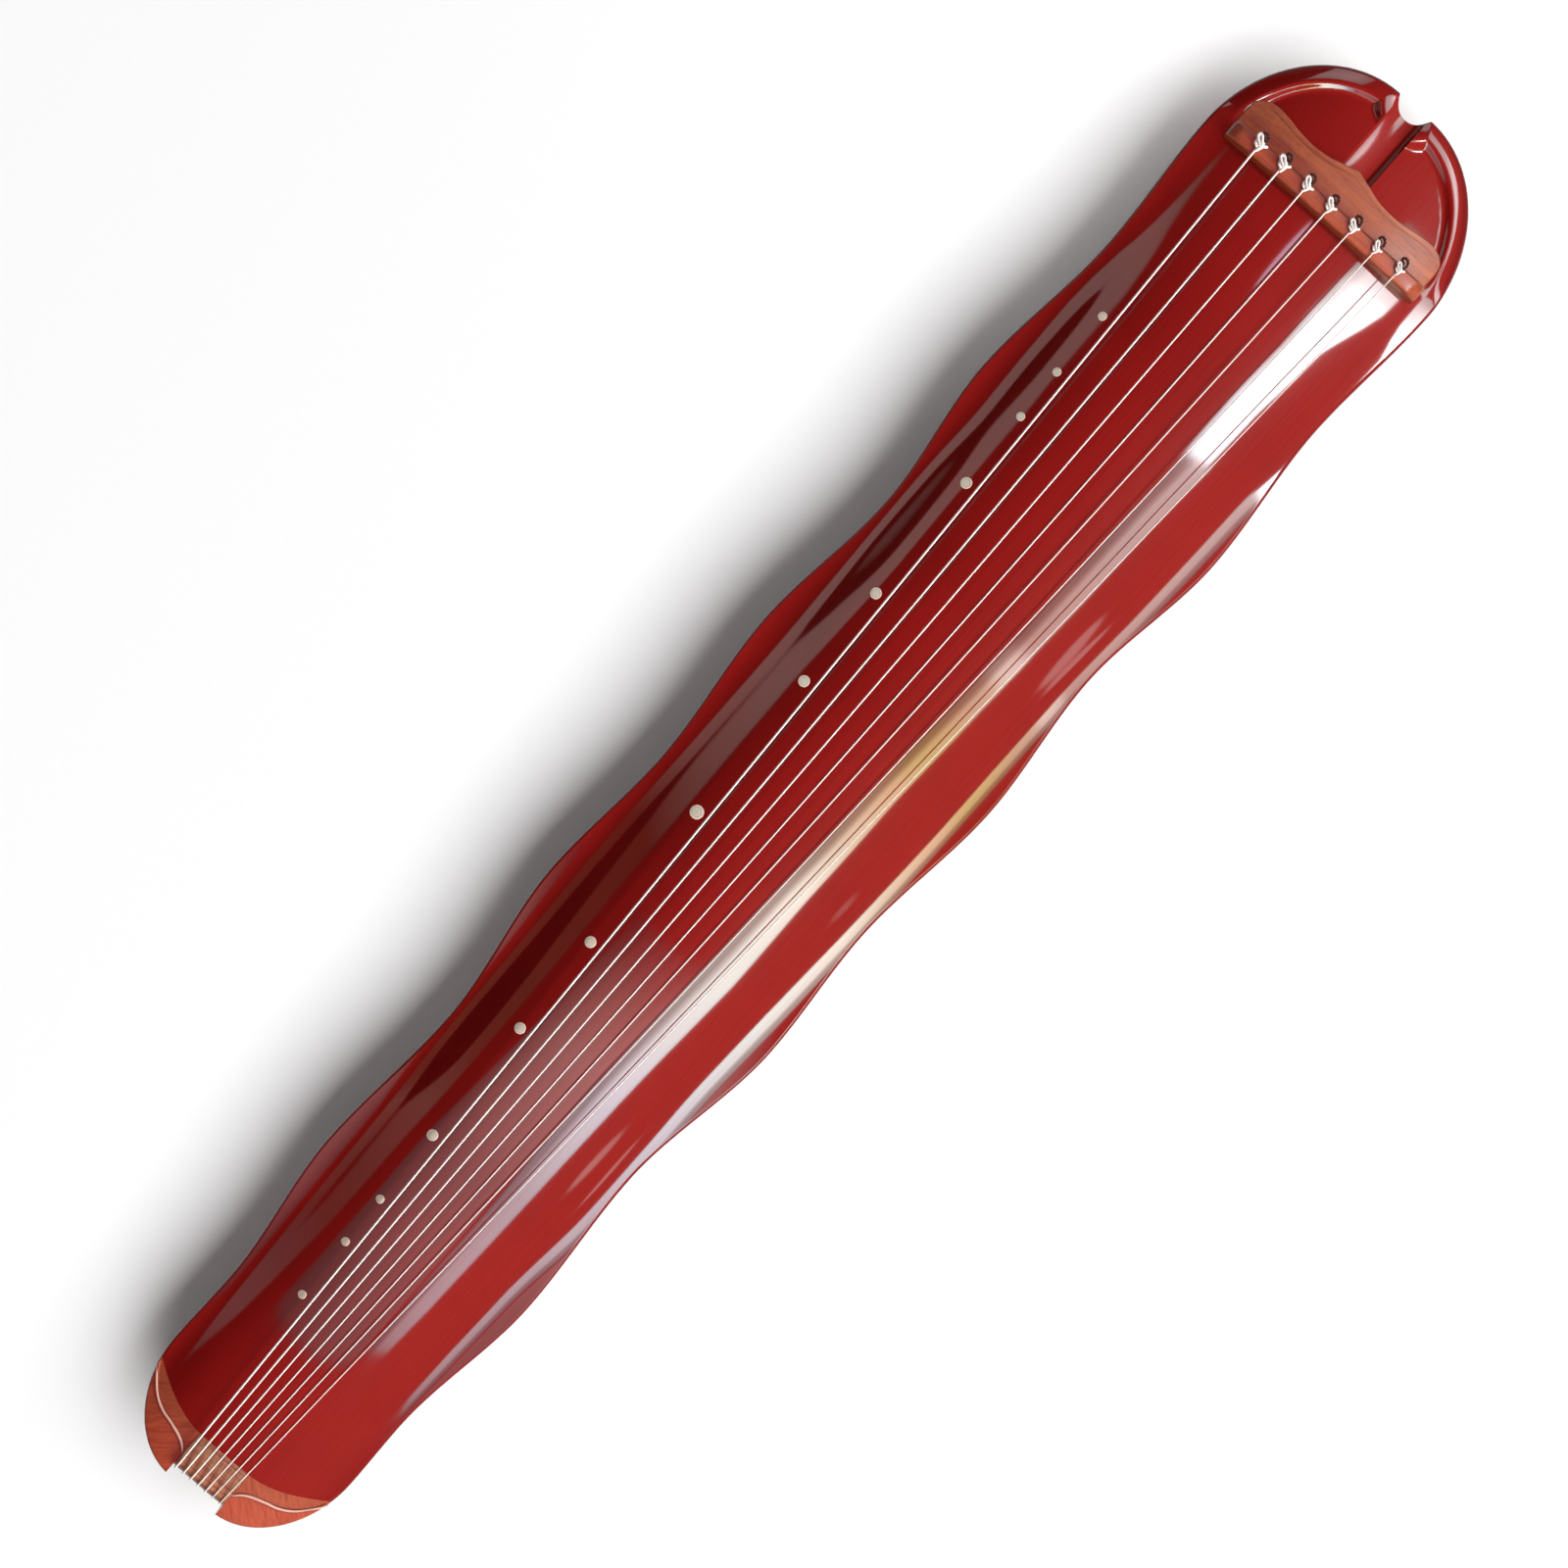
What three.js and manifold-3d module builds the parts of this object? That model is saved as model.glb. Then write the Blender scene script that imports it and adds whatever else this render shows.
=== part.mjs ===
// Guqin, a seven-string zither with wavy sides, lying on its two feet and two peg guards.
// Millimetres. X runs from the tail to the head, Y towards the studs and the first string, Z up.
// Places along X are counted from the line where the strings meet the nut.
// The last group moves the whole instrument to its middle.

import * as THREE from 'three';
import { mergeVertices } from 'three/addons/utils/BufferGeometryUtils.js';
import Module from 'manifold-3d';

const wasm = await Module();
wasm.setup();

// Fits and cuts
const fitGap = 0.3;
const overrun = 2;
const weld = 0.0001;

// Plan of the body
const stringLength = 1120;
const tailReach = 14;
const headReach = 95.5;
const halfWidth = 101;
const tailHalfWidth = 77.8;
const headHalfWidth = 97.4;
const cornerLength = 74;
const crownGapHalf = 22;
const lobeHalf = 14;
const notchDepth = 10.5;
const notchPower = 2.5;
// The side waves: place as a share of the string length, half width as a share of halfWidth
const sideShares = [
  [0.101, 0.76], [0.206, 0.875], [0.307, 0.812], [0.419, 0.95], [0.509, 0.89],
  [0.613, 0.98], [0.711, 0.889], [0.8085, 1], [0.909, 0.913],
];

// Heights: the feet lift the body, the two boards meet at the joint
const footHeight = 32;
const bottomThickness = 10;
const bodyDepth = 46.2;
const archRise = 15;
const edgeRound = 3;
const bottomRound = 3;
// The crest line: place as a share of the string length, height as a share of bodyDepth
const crestShares = [
  [-0.0125, 0.88], [0.27, 0.94], [0.54, 0.985], [0.76, 1], [0.92, 0.98], [1, 0.955], [1.085, 0.87],
];
// How strongly the top is arched: place as a share of the string length, rise as a share of archRise
const riseShares = [
  [-0.0125, 0.75], [0.2, 0.9], [0.45, 1], [0.8, 1], [0.89, 0.88], [0.99, 0.64], [1.085, 0.6],
];
// The arch runs straight under the side waves: place as a share of the string length,
// half width as a share of halfWidth
const barrelShares = [
  [-0.0125, 0.79], [0.1, 0.8], [0.25, 0.845], [0.36, 0.88], [0.46, 0.92], [0.6, 0.935],
  [0.76, 0.945], [0.86, 0.956], [1.085, 0.96],
];
// Where the arch is steepest, and how fast it flattens again towards the edge
const shoulderShare = 0.78;
const flareShare = 2.79;
const underside = footHeight;
const joint = underside + bottomThickness;

// Head: a rim follows the edge round a lower field, and a valley runs to the notch
const rimWidth = 13;
const rimSlope = 8;
const fieldDepth = 3.5;
const fieldStart = 6;
const fieldRun = 24;
const valleyHalf = 12;
const valleyDepth = 4;

// Resonator, sound holes and carved blocks over them
const tailBlock = 80;
const headBlock = 80;
const wallThickness = 15;
const ceilingThickness = 10;
const chiPlaceShare = 0.64;
const chiLength = 208;
const chiWidth = 26;
const zhaoPlaceShare = 0.2;
const zhaoLength = 104;
const zhaoWidth = 24;
const holeCorner = 9;
const nayinMargin = 16;
const nayinThickness = 6;

// Bridge, string-hole plate, nut, crown corners and tail support
const bridgeHeight = 13.4;
const bridgeDepth = 12;
const bridgeLip = 1.5;
const bridgeBow = 3.5;
const bridgeEnd = 8;
const plateHalf = 82;
const plateReach = 39.5;
const plateProud = 0.6;
const plateSeat = 29.5;
const stringHole = 3.6;
const holeSetback = 13.3;
const nutHeight = 2.6;
const nutEnd = 6.5;
const nutFront = 22.3;
const nutRound = 7;
const tailSeat = 16;
const crownSweep = 22;
const crownPower = 1.8;
const beadRadius = 1.3;
const supportLength = 22;
const supportProud = 1.5;
const supportRound = 6;
// Wavy outer edge of the plate: reach as a share of plateReach, place across as a share of plateHalf
const plateShares = [
  [0.6, 1], [0.75, 0.985], [0.86, 0.93], [0.92, 0.83], [0.9, 0.71], [0.845, 0.56],
  [0.82, 0.415], [0.845, 0.27], [0.93, 0.12], [1, 0],
];
// Raised bead on a crown corner: shares of cornerLength and of the corner's width
const beadShares = [
  [0.25, 0.01], [0.324, 0.12], [0.382, 0.34], [0.419, 0.54], [0.493, 0.71], [0.608, 0.855], [0.72, 0.94],
];

// Studs that mark the stopping places, counted from the bridge
const studShares = [
  1 / 8, 1 / 6, 1 / 5, 1 / 4, 1 / 3, 2 / 5, 1 / 2, 3 / 5, 2 / 3, 3 / 4, 4 / 5, 5 / 6, 7 / 8,
];
const studSmall = 6.3;
const studMiddle = 8.2;
const studLarge = 10;
const studThickness = 1.8;
const studOffset = 8;

// Strings, first to seventh, and the silk loops that tie them to the pegs
const gauges = [1.5, 1.35, 1.2, 1.08, 0.98, 0.88, 0.78];
const nutSpan = 38.6;
const bridgeSpan = 121.2;
const knotSetback = 7;
const knotLength = 6.4;
const knotWidth = 5;
const knotHeight = 4;
const silkDiameter = 2.2;
const silkDepth = 5;
const footLoops = 2;
const windGap = 0.5;
const bandGap = 0.8;
const windEndLength = 5;

// Pegs, their pool and the guards beside them
const poolDepth = 18;
const poolHalfLength = 75;
const poolWidth = 30;
const pegPlateThickness = 4;
const pegDiameter = 16.4;
const pegNeckDiameter = 11;
const pegTipDiameter = 12.5;
const pegClearance = 2.5;
const pegCollar = 3;
const pegBore = 4.4;
const pegBoreDepth = 15;
const pegCrossBore = 3;
const pegLobeShare = 0.88;
const guardLength = 44;
const guardThickness = 13;
const guardTaper = 5;
const guardMargin = 2;
const guardTenon = 8;
const tenonDepth = 8;

// Feet and inner pieces
const footPlaceShare = 0.307;
const footHalfSpan = 52;
const footShoulder = 11.5;
const footShoulderHeight = 2;
const footNeck = 8.5;
const footBase = 10.5;
const footBaseHeight = 7;
const footTenon = 10;
const blockLength = 34;
const blockWidth = 26;
const blockThickness = 11;
const roundPostShare = 0.775;
const roundPost = 12;
const squarePostShare = 0.45;
const squarePost = 10;

// How finely curves are stepped
const bodySteps = 36;
const cornerSteps = 7;
const headSteps = 10;
const notchSteps = 4;
const acrossShares = [0, 0.3, 0.55, 0.75, 0.86, 0.965, 1];
const fineSteps = 160;
const tubeSides = 6;
const silkSides = 8;
const studSides = 12;
const turnedSides = 16;
const domeSides = 14;
const knotSides = 8;
const loopSteps = 24;
const bendSteps = 4;

// Top of every cut that runs out of the body
const aboveAll = footHeight + bodyDepth + overrun;

// Finishes
const lacquer = new THREE.MeshStandardMaterial({ color: '#8e1518', roughness: 0.12, metalness: 0 });
const rosewood = new THREE.MeshStandardMaterial({ color: '#98532f', roughness: 0.35, metalness: 0 });
const shell = new THREE.MeshStandardMaterial({ color: '#d8cbb0', roughness: 0.3, metalness: 0 });
const stringWhite = new THREE.MeshStandardMaterial({ color: '#e9e4da', roughness: 0.4, metalness: 0 });
const silk = new THREE.MeshStandardMaterial({ color: '#1d1715', roughness: 0.8, metalness: 0 });
const fir = new THREE.MeshStandardMaterial({ color: '#c9a678', roughness: 0.7, metalness: 0 });

const guqin = new THREE.Group();
guqin.position.x = -(stringLength + headReach - tailReach) / 2;

function place(name, geometry, material) {
  const mesh = new THREE.Mesh(geometry, material);
  mesh.name = name;
  guqin.add(mesh);
  return mesh;
}

// Smooth curve through a table of places and values, flat at each peak and dip
function through(table, x) {
  const last = table.length - 1;
  const at = THREE.MathUtils.clamp(x, table[0][0], table[last][0]);
  let i = 0;
  while (i < last - 1 && at > table[i + 1][0]) {
    i += 1;
  }
  const slope = (k) => (table[k + 1][1] - table[k][1]) / (table[k + 1][0] - table[k][0]);
  const tangent = (k) => {
    if (k === 0 || k === last || slope(k - 1) * slope(k) <= 0) {
      return 0;
    }
    return (2 * slope(k - 1) * slope(k)) / (slope(k - 1) + slope(k));
  };
  const run = table[i + 1][0] - table[i][0];
  const t = (at - table[i][0]) / run;
  const rise = table[i + 1][1] - table[i][1];
  const ends = rise * t * t * (3 - 2 * t) + run * t * (1 - t) * ((1 - t) * tangent(i) - t * tangent(i + 1));
  return table[i][1] + ends;
}

// Closed solid through a row of rings that all turn the same way
function loft(rings) {
  const size = rings[0].length;
  const positions = rings.flat().flatMap((p) => [p.x, p.y, p.z]);
  const index = [];
  for (let i = 0; i < rings.length - 1; i += 1) {
    for (let j = 0; j < size; j += 1) {
      const a = i * size + j;
      const b = i * size + ((j + 1) % size);
      index.push(a, b, b + size, a, b + size, a + size);
    }
  }
  const capOf = (ring, offset, flip) => {
    const normal = new THREE.Vector3();
    ring.forEach((p, k) => normal.add(new THREE.Vector3().crossVectors(p, ring[(k + 1) % size])));
    const upright = new THREE.Vector3(0, 0, 1);
    const toPlane = new THREE.Quaternion().setFromUnitVectors(normal.normalize(), upright);
    const flat = ring.map((p) => {
      const turned = p.clone().applyQuaternion(toPlane);
      return new THREE.Vector2(turned.x, turned.y);
    });
    THREE.ShapeUtils.triangulateShape(flat, []).forEach(([a, b, c]) => {
      index.push(offset + a, offset + (flip ? c : b), offset + (flip ? b : c));
    });
  };
  capOf(rings[0], 0, true);
  capOf(rings[rings.length - 1], (rings.length - 1) * size, false);
  const geometry = new THREE.BufferGeometry();
  geometry.setAttribute('position', new THREE.Float32BufferAttribute(positions, 3));
  geometry.setIndex(index);
  geometry.computeVertexNormals();
  return geometry;
}

function ringAt(z, points) {
  return points.map(([x, y]) => new THREE.Vector3(x, y, z));
}

function prism(points, low, high) {
  return loft([ringAt(low, points), ringAt(high, points)]);
}

// Rectangle with round corners about a centre
function roundedPlan(centreX, centreY, lengthX, widthY, corner) {
  const points = [];
  for (let k = 0; k < 4; k += 1) {
    const signX = k === 0 || k === 3 ? 1 : -1;
    const signY = k < 2 ? 1 : -1;
    for (let i = 0; i <= bendSteps; i += 1) {
      const angle = (k + i / bendSteps) * (Math.PI / 2);
      points.push([
        centreX + signX * (lengthX / 2 - corner) + corner * Math.cos(angle),
        centreY + signY * (widthY / 2 - corner) + corner * Math.sin(angle),
      ]);
    }
  }
  return points;
}

// Unbroken tube along a list of points, its section carried along without twist
function tube(points, radius, sides) {
  const directions = points.map((p, i) => {
    const before = points[Math.max(0, i - 1)];
    const after = points[Math.min(points.length - 1, i + 1)];
    return after.clone().sub(before).normalize();
  });
  const across = new THREE.Vector3(0, 0, 1).cross(directions[0]);
  if (across.length() < weld) {
    across.set(1, 0, 0);
  }
  across.normalize();
  const rings = points.map((p, i) => {
    if (i > 0) {
      const turn = new THREE.Quaternion().setFromUnitVectors(directions[i - 1], directions[i]);
      across.applyQuaternion(turn);
    }
    const up = directions[i].clone().cross(across);
    return Array.from({ length: sides }, (unused, k) => {
      const angle = (k / sides) * 2 * Math.PI;
      return p.clone()
        .addScaledVector(across, radius * Math.cos(angle))
        .addScaledVector(up, radius * Math.sin(angle));
    });
  });
  return loft(rings);
}

function cylinder(radius, low, high, sides) {
  const geometry = new THREE.CylinderGeometry(radius, radius, high - low, sides);
  geometry.rotateX(Math.PI / 2);
  geometry.translate(0, 0, (low + high) / 2);
  return geometry;
}

function box(centreX, centreY, lengthX, widthY, low, high) {
  const geometry = new THREE.BoxGeometry(lengthX, widthY, high - low);
  geometry.translate(centreX, centreY, (low + high) / 2);
  return geometry;
}

// Boolean solid of a closed geometry, and back
function solid(geometry) {
  const bare = geometry.clone();
  bare.deleteAttribute('normal');
  bare.deleteAttribute('uv');
  const merged = mergeVertices(bare, weld);
  return new wasm.Manifold(new wasm.Mesh({
    numProp: 3,
    vertProperties: new Float32Array(merged.attributes.position.array),
    triVerts: new Uint32Array(merged.index.array),
  }));
}

function geometryOf(body) {
  const mesh = body.getMesh();
  const geometry = new THREE.BufferGeometry();
  geometry.setAttribute('position', new THREE.Float32BufferAttribute(mesh.vertProperties, 3));
  geometry.setIndex(Array.from(mesh.triVerts));
  geometry.computeVertexNormals();
  return geometry;
}

function cutAll(body, cutters) {
  return cutters.reduce((rest, cutter) => rest.subtract(solid(cutter)), body);
}

// Outline of the body
const cornerCentre = cornerLength - tailReach;
const sideTable = [
  [cornerCentre, tailHalfWidth],
  ...sideShares.map(([place, width]) => [place * stringLength, width * halfWidth]),
  [stringLength, headHalfWidth],
];

function halfWidthAt(x) {
  return through(sideTable, x);
}

function notchX(y) {
  const share = Math.min(1, Math.abs(y) / lobeHalf);
  return stringLength + headReach - notchDepth * (1 - share ** notchPower);
}

// Half of the outline from the crown tip round the head into the notch.
// Each point has a partner on the axis.
function sideStations(corners, sides, heads) {
  const stations = [];
  const tipY = crownGapHalf - overrun;
  const lastY = lobeHalf / notchSteps;
  const axisRun = notchX(lastY) - stringLength;
  const headStations = heads + notchSteps - 1;
  for (let i = 0; i < corners; i += 1) {
    const angle = (i / corners) * (Math.PI / 2);
    stations.push({
      x: cornerCentre - cornerLength * Math.cos(angle),
      y: tipY + (tailHalfWidth - tipY) * Math.sin(angle),
      axis: -tailReach + cornerLength * (i / corners),
    });
  }
  for (let i = 0; i < sides; i += 1) {
    const x = cornerCentre + (stringLength - cornerCentre) * (i / sides);
    stations.push({ x, y: halfWidthAt(x), axis: x });
  }
  for (let i = 0; i <= heads; i += 1) {
    const angle = (i / heads) * (Math.PI / 2);
    stations.push({
      x: stringLength + headReach * Math.sin(angle),
      y: lobeHalf + (headHalfWidth - lobeHalf) * Math.cos(angle),
      axis: stringLength + axisRun * (i / headStations),
    });
  }
  for (let i = 1; i < notchSteps; i += 1) {
    const y = lobeHalf * (1 - i / notchSteps);
    stations.push({ x: notchX(y), y, axis: stringLength + axisRun * ((heads + i) / headStations) });
  }
  return stations;
}

const edgeSamples = sideStations(fineSteps / 4, fineSteps, fineSteps / 4).map(({ x, y }) => [x, y]);

// Shortest way from a place in plan to the outline
function edgeDistance(x, y) {
  const across = Math.abs(y);
  let least = Infinity;
  for (let i = 0; i < edgeSamples.length - 1; i += 1) {
    const [ax, ay] = edgeSamples[i];
    const [bx, by] = edgeSamples[i + 1];
    const run = (bx - ax) ** 2 + (by - ay) ** 2;
    const t = THREE.MathUtils.clamp(((x - ax) * (bx - ax) + (across - ay) * (by - ay)) / run, 0, 1);
    least = Math.min(least, Math.hypot(ax + t * (bx - ax) - x, ay + t * (by - ay) - across));
  }
  return least;
}

// Height of the plain arch over the floor: round in the middle, flatter again in the side waves
function archHeight(x, y) {
  const place = x / stringLength;
  const share = Math.abs(y) / (through(barrelShares, place) * halfWidth);
  const inner = Math.min(share, shoulderShare);
  const outer = Math.min(share - inner, shoulderShare / flareShare);
  const fall = inner ** 2 + 2 * shoulderShare * outer - flareShare * outer ** 2;
  return underside + through(crestShares, place) * bodyDepth - through(riseShares, place) * archRise * fall;
}

// Height of the finished top: the arch with its rounded edge, and the lower field of the head
function topHeight(x, y) {
  const distance = edgeDistance(x, y);
  const toEdge = Math.max(0, 1 - distance / edgeRound);
  const rounding = edgeRound * (1 - Math.sqrt(1 - toEdge ** 2));
  const headStart = stringLength + fieldStart;
  const inHead = THREE.MathUtils.smoothstep(x, headStart, headStart + fieldRun);
  const inField = THREE.MathUtils.smoothstep(distance, rimWidth - rimSlope / 2, rimWidth + rimSlope / 2);
  return archHeight(x, y) - rounding - fieldDepth * inHead * inField;
}

// Solid over part of the plan: rows of places, a level floor and a shaped top
function blockUnder(rows, low, heightAt) {
  const across = rows[0].length;
  const rings = rows.map((row) => [
    ...row.map(([x, y]) => new THREE.Vector3(x, y, low)),
    ...[...row].reverse().map(([x, y]) => new THREE.Vector3(x, y, heightAt(x, y))),
  ]);
  const size = 2 * across;
  const index = [];
  const positions = rings.flat().flatMap((p) => [p.x, p.y, p.z]);
  for (let i = 0; i < rings.length - 1; i += 1) {
    for (let j = 0; j < size; j += 1) {
      const a = i * size + j;
      const b = i * size + ((j + 1) % size);
      index.push(a, b, b + size, a, b + size, a + size);
    }
  }
  for (const [offset, flip] of [[0, true], [(rings.length - 1) * size, false]]) {
    for (let j = 0; j < across - 1; j += 1) {
      const quad = [offset + j, offset + j + 1, offset + size - 2 - j, offset + size - 1 - j];
      if (flip) {
        quad.reverse();
      }
      index.push(quad[0], quad[1], quad[2], quad[0], quad[2], quad[3]);
    }
  }
  const geometry = new THREE.BufferGeometry();
  geometry.setAttribute('position', new THREE.Float32BufferAttribute(positions, 3));
  geometry.setIndex(index);
  return geometry;
}

const bothSides = [...acrossShares.slice(1).reverse().map((share) => -share), ...acrossShares];

function bodyRows() {
  return sideStations(cornerSteps, bodySteps, headSteps).map(({ x, y, axis }) => (
    bothSides.map((share) => [axis + (x - axis) * Math.abs(share), y * share])
  ));
}

// Rows over a rectangle of the plan
function rectangleRows(startX, endX, halfY, stepsX, stepsY) {
  return Array.from({ length: stepsX + 1 }, (unused, i) => (
    Array.from({ length: stepsY + 1 }, (unusedToo, j) => [
      startX + (endX - startX) * (i / stepsX),
      halfY * (2 * (j / stepsY) - 1),
    ])
  ));
}

// Places that several pieces share
const stringCount = gauges.length;
const stringNumbers = gauges.map((gauge, i) => i);
const nutY = (i) => nutSpan * (0.5 - i / (stringCount - 1));
const bridgeY = (i) => bridgeSpan * (0.5 - i / (stringCount - 1));
const holeX = stringLength + holeSetback;
const footX = footPlaceShare * stringLength;
const chiX = chiPlaceShare * stringLength;
const zhaoX = zhaoPlaceShare * stringLength;
const plateFloor = underside + plateSeat;
const tailFloor = underside + tailSeat;
const poolCeiling = underside + poolDepth + pegPlateThickness;
const pegTop = poolCeiling - pegPlateThickness - fitGap;
const bridgeBack = bridgeDepth - bridgeLip;
const supportBottom = underside - supportProud;

function bridgeTop(y) {
  const share = Math.abs(y) / plateHalf;
  const fromEnd = Math.max(0, Math.abs(y) - (plateHalf - bridgeEnd)) / bridgeEnd;
  return archHeight(stringLength, 0) + bridgeHeight - bridgeBow * (share ** 2 + fromEnd ** 2);
}

function nutTop(y) {
  return archHeight(0, y) + nutHeight;
}

// Red border of the crown corners and the nut
function crownBorder(y) {
  const share = Math.max(0, Math.abs(y) - crownGapHalf) / (tailHalfWidth - crownGapHalf);
  return nutFront + crownSweep * share ** crownPower;
}

function tailPlan(fromY, toY, gap) {
  const steps = 3 * bendSteps;
  const border = Array.from({ length: steps + 1 }, (unused, i) => {
    const y = fromY + (toY - fromY) * (i / steps);
    return [crownBorder(y) + gap, y];
  });
  return [[-tailReach - overrun, fromY], ...border, [-tailReach - overrun, toY]];
}

// One half of the plate's wavy edge, from its end to the point on the axis
function plateEdge(gap) {
  return new THREE.SplineCurve(plateShares.map(([reach, across]) => (
    new THREE.Vector2(stringLength + reach * plateReach, across * plateHalf)
  ))).getPoints(4 * bendSteps).map((p) => [p.x + gap, p.y + gap * (p.y / plateHalf)]);
}

// Plan from a front line to the wavy edge
function seatPlan(frontX, gap) {
  const near = plateEdge(gap).map(([x, y]) => [x, -y]);
  const far = plateEdge(gap).reverse().slice(1);
  return [[frontX, -plateHalf - gap], ...near, ...far, [frontX, plateHalf + gap]];
}

const tailRecess = box(-nutEnd - tailReach / 2, 0, tailReach, 2 * crownGapHalf, 0, aboveAll);
const bodyBlock = solid(blockUnder(bodyRows(), joint, topHeight));

// Trough under the top, with the blocks that stay over the sound holes
function trough() {
  const rows = rectangleRows(tailBlock, stringLength - headBlock, 1, bodySteps / 2, bendSteps + 2)
    .map((row) => row.map(([x, share]) => [x, share * (halfWidthAt(x) - wallThickness)]));
  const ceiling = (x, y) => archHeight(x, y) - ceilingThickness;
  const nayins = [[chiX, chiLength, chiWidth], [zhaoX, zhaoLength, zhaoWidth]].map(([x, length, width]) => {
    const dome = new THREE.SphereGeometry(1, domeSides, domeSides / 2);
    dome.scale(length / 2 + nayinMargin, width / 2 + nayinMargin, nayinThickness);
    dome.translate(x, 0, ceiling(x, 0));
    return dome;
  });
  return geometryOf(cutAll(solid(blockUnder(rows, joint - overrun, ceiling)), nayins));
}

function valley() {
  const startX = stringLength + plateReach / 2;
  const endX = stringLength + headReach + overrun;
  const rings = [startX, notchX(0), endX].map((x) => {
    const edge = archHeight(x, valleyHalf) - fieldDepth;
    const floor = Array.from({ length: 2 * bendSteps + 1 }, (unused, i) => {
      const y = valleyHalf * (i / bendSteps - 1);
      return new THREE.Vector3(x, y, edge - valleyDepth * (1 - (y / valleyHalf) ** 2));
    });
    const above = edge + fieldDepth + overrun;
    return [...floor, new THREE.Vector3(x, valleyHalf, above), new THREE.Vector3(x, -valleyHalf, above)];
  });
  return loft(rings);
}

function stringHoles(low, high) {
  return stringNumbers.map((i) => {
    const hole = cylinder(stringHole / 2, low, high, silkSides);
    return hole.translate(holeX, bridgeY(i), 0);
  });
}

// Studs: place, tilt and size of each
function studSize(i) {
  const fromMiddle = Math.abs(i - (studShares.length - 1) / 2);
  if (fromMiddle === 0) {
    return studLarge;
  }
  return fromMiddle <= 3 ? studMiddle : studSmall;
}

function studMatrix(i) {
  const x = stringLength * (1 - studShares[i]);
  const y = nutY(0) + (bridgeY(0) - nutY(0)) * (x / stringLength) + studOffset;
  const z = topHeight(x, y);
  const reach = studSmall / 2;
  const normal = new THREE.Vector3(
    (topHeight(x - reach, y) - topHeight(x + reach, y)) / (2 * reach),
    (topHeight(x, y - reach) - topHeight(x, y + reach)) / (2 * reach),
    1,
  ).normalize();
  const tilt = new THREE.Quaternion().setFromUnitVectors(new THREE.Vector3(0, 0, 1), normal);
  return new THREE.Matrix4().compose(new THREE.Vector3(x, y, z), tilt, new THREE.Vector3(1, 1, 1));
}

const studPockets = studShares.map((share, i) => (
  cylinder(studSize(i) / 2 + fitGap, -studThickness - fitGap, overrun, studSides)
    .applyMatrix4(studMatrix(i))
));

const bothWays = [1, -1];
const footPockets = bothWays.map((side) => box(
  footX,
  side * footHalfSpan,
  blockLength + 2 * fitGap,
  blockWidth + 2 * fitGap,
  joint - overrun,
  joint + blockThickness + fitGap,
));

const poolPlan = roundedPlan(holeX, 0, poolWidth, 2 * poolHalfLength, poolWidth / 4);

// Soundboard: arched top with the head, hollowed from below
const soundboard = cutAll(bodyBlock, [
  tailRecess,
  prism(tailPlan(-halfWidth, halfWidth, fitGap), tailFloor, aboveAll),
  prism(seatPlan(stringLength - bridgeLip - fitGap, fitGap), plateFloor, aboveAll),
  trough(),
  valley(),
  ...footPockets,
  prism(poolPlan, joint - overrun, poolCeiling),
  ...stringHoles(poolCeiling - overrun, plateFloor + overrun),
  ...studPockets,
]);
place('soundboard', geometryOf(soundboard), lacquer);

// Bottom board: flat, with both sound holes, the peg pool and the sockets
function bottomRing(z, inset) {
  const side = sideStations(cornerSteps, bodySteps, headSteps).map(({ x, y }) => [x, y]);
  const loop = [...side, ...[...side].reverse().map(([x, y]) => [x, -y])];
  return loop.map(([x, y], i) => {
    const [beforeX, beforeY] = loop[(i + loop.length - 1) % loop.length];
    const [afterX, afterY] = loop[(i + 1) % loop.length];
    const length = Math.hypot(afterX - beforeX, afterY - beforeY);
    const inwardX = (afterY - beforeY) / length;
    const inwardY = -(afterX - beforeX) / length;
    return new THREE.Vector3(x + inset * inwardX, y + inset * inwardY, z);
  }).reverse();
}

const supportSlot = box(
  (supportLength - tailReach - nutEnd) / 2, 0,
  supportLength + tailReach - nutEnd + 2 * fitGap, 2 * crownGapHalf,
  underside - overrun, joint + overrun,
);
const guardY = poolHalfLength + guardMargin + guardThickness / 2;
const footMortise = footTenon + 2 * fitGap;
const guardMortise = guardTenon + 2 * fitGap;
const sockets = bothWays.flatMap((side) => [
  box(footX, side * footHalfSpan, footMortise, footMortise, 0, joint + overrun),
  box(holeX, side * guardY, guardMortise, guardMortise, 0, underside + tenonDepth + fitGap),
]);
const bottomBoard = cutAll(solid(loft([
  bottomRing(underside, bottomRound),
  bottomRing(underside + bottomRound / 3, bottomRound / 3),
  bottomRing(underside + bottomRound, 0),
  bottomRing(joint, 0),
])), [
  supportSlot,
  prism(roundedPlan(chiX, 0, chiLength, chiWidth, holeCorner), 0, joint + overrun),
  prism(roundedPlan(zhaoX, 0, zhaoLength, zhaoWidth, holeCorner), 0, joint + overrun),
  prism(poolPlan, 0, joint + overrun),
  ...sockets,
]);
place('bottom_board', geometryOf(bottomBoard), lacquer);

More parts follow.
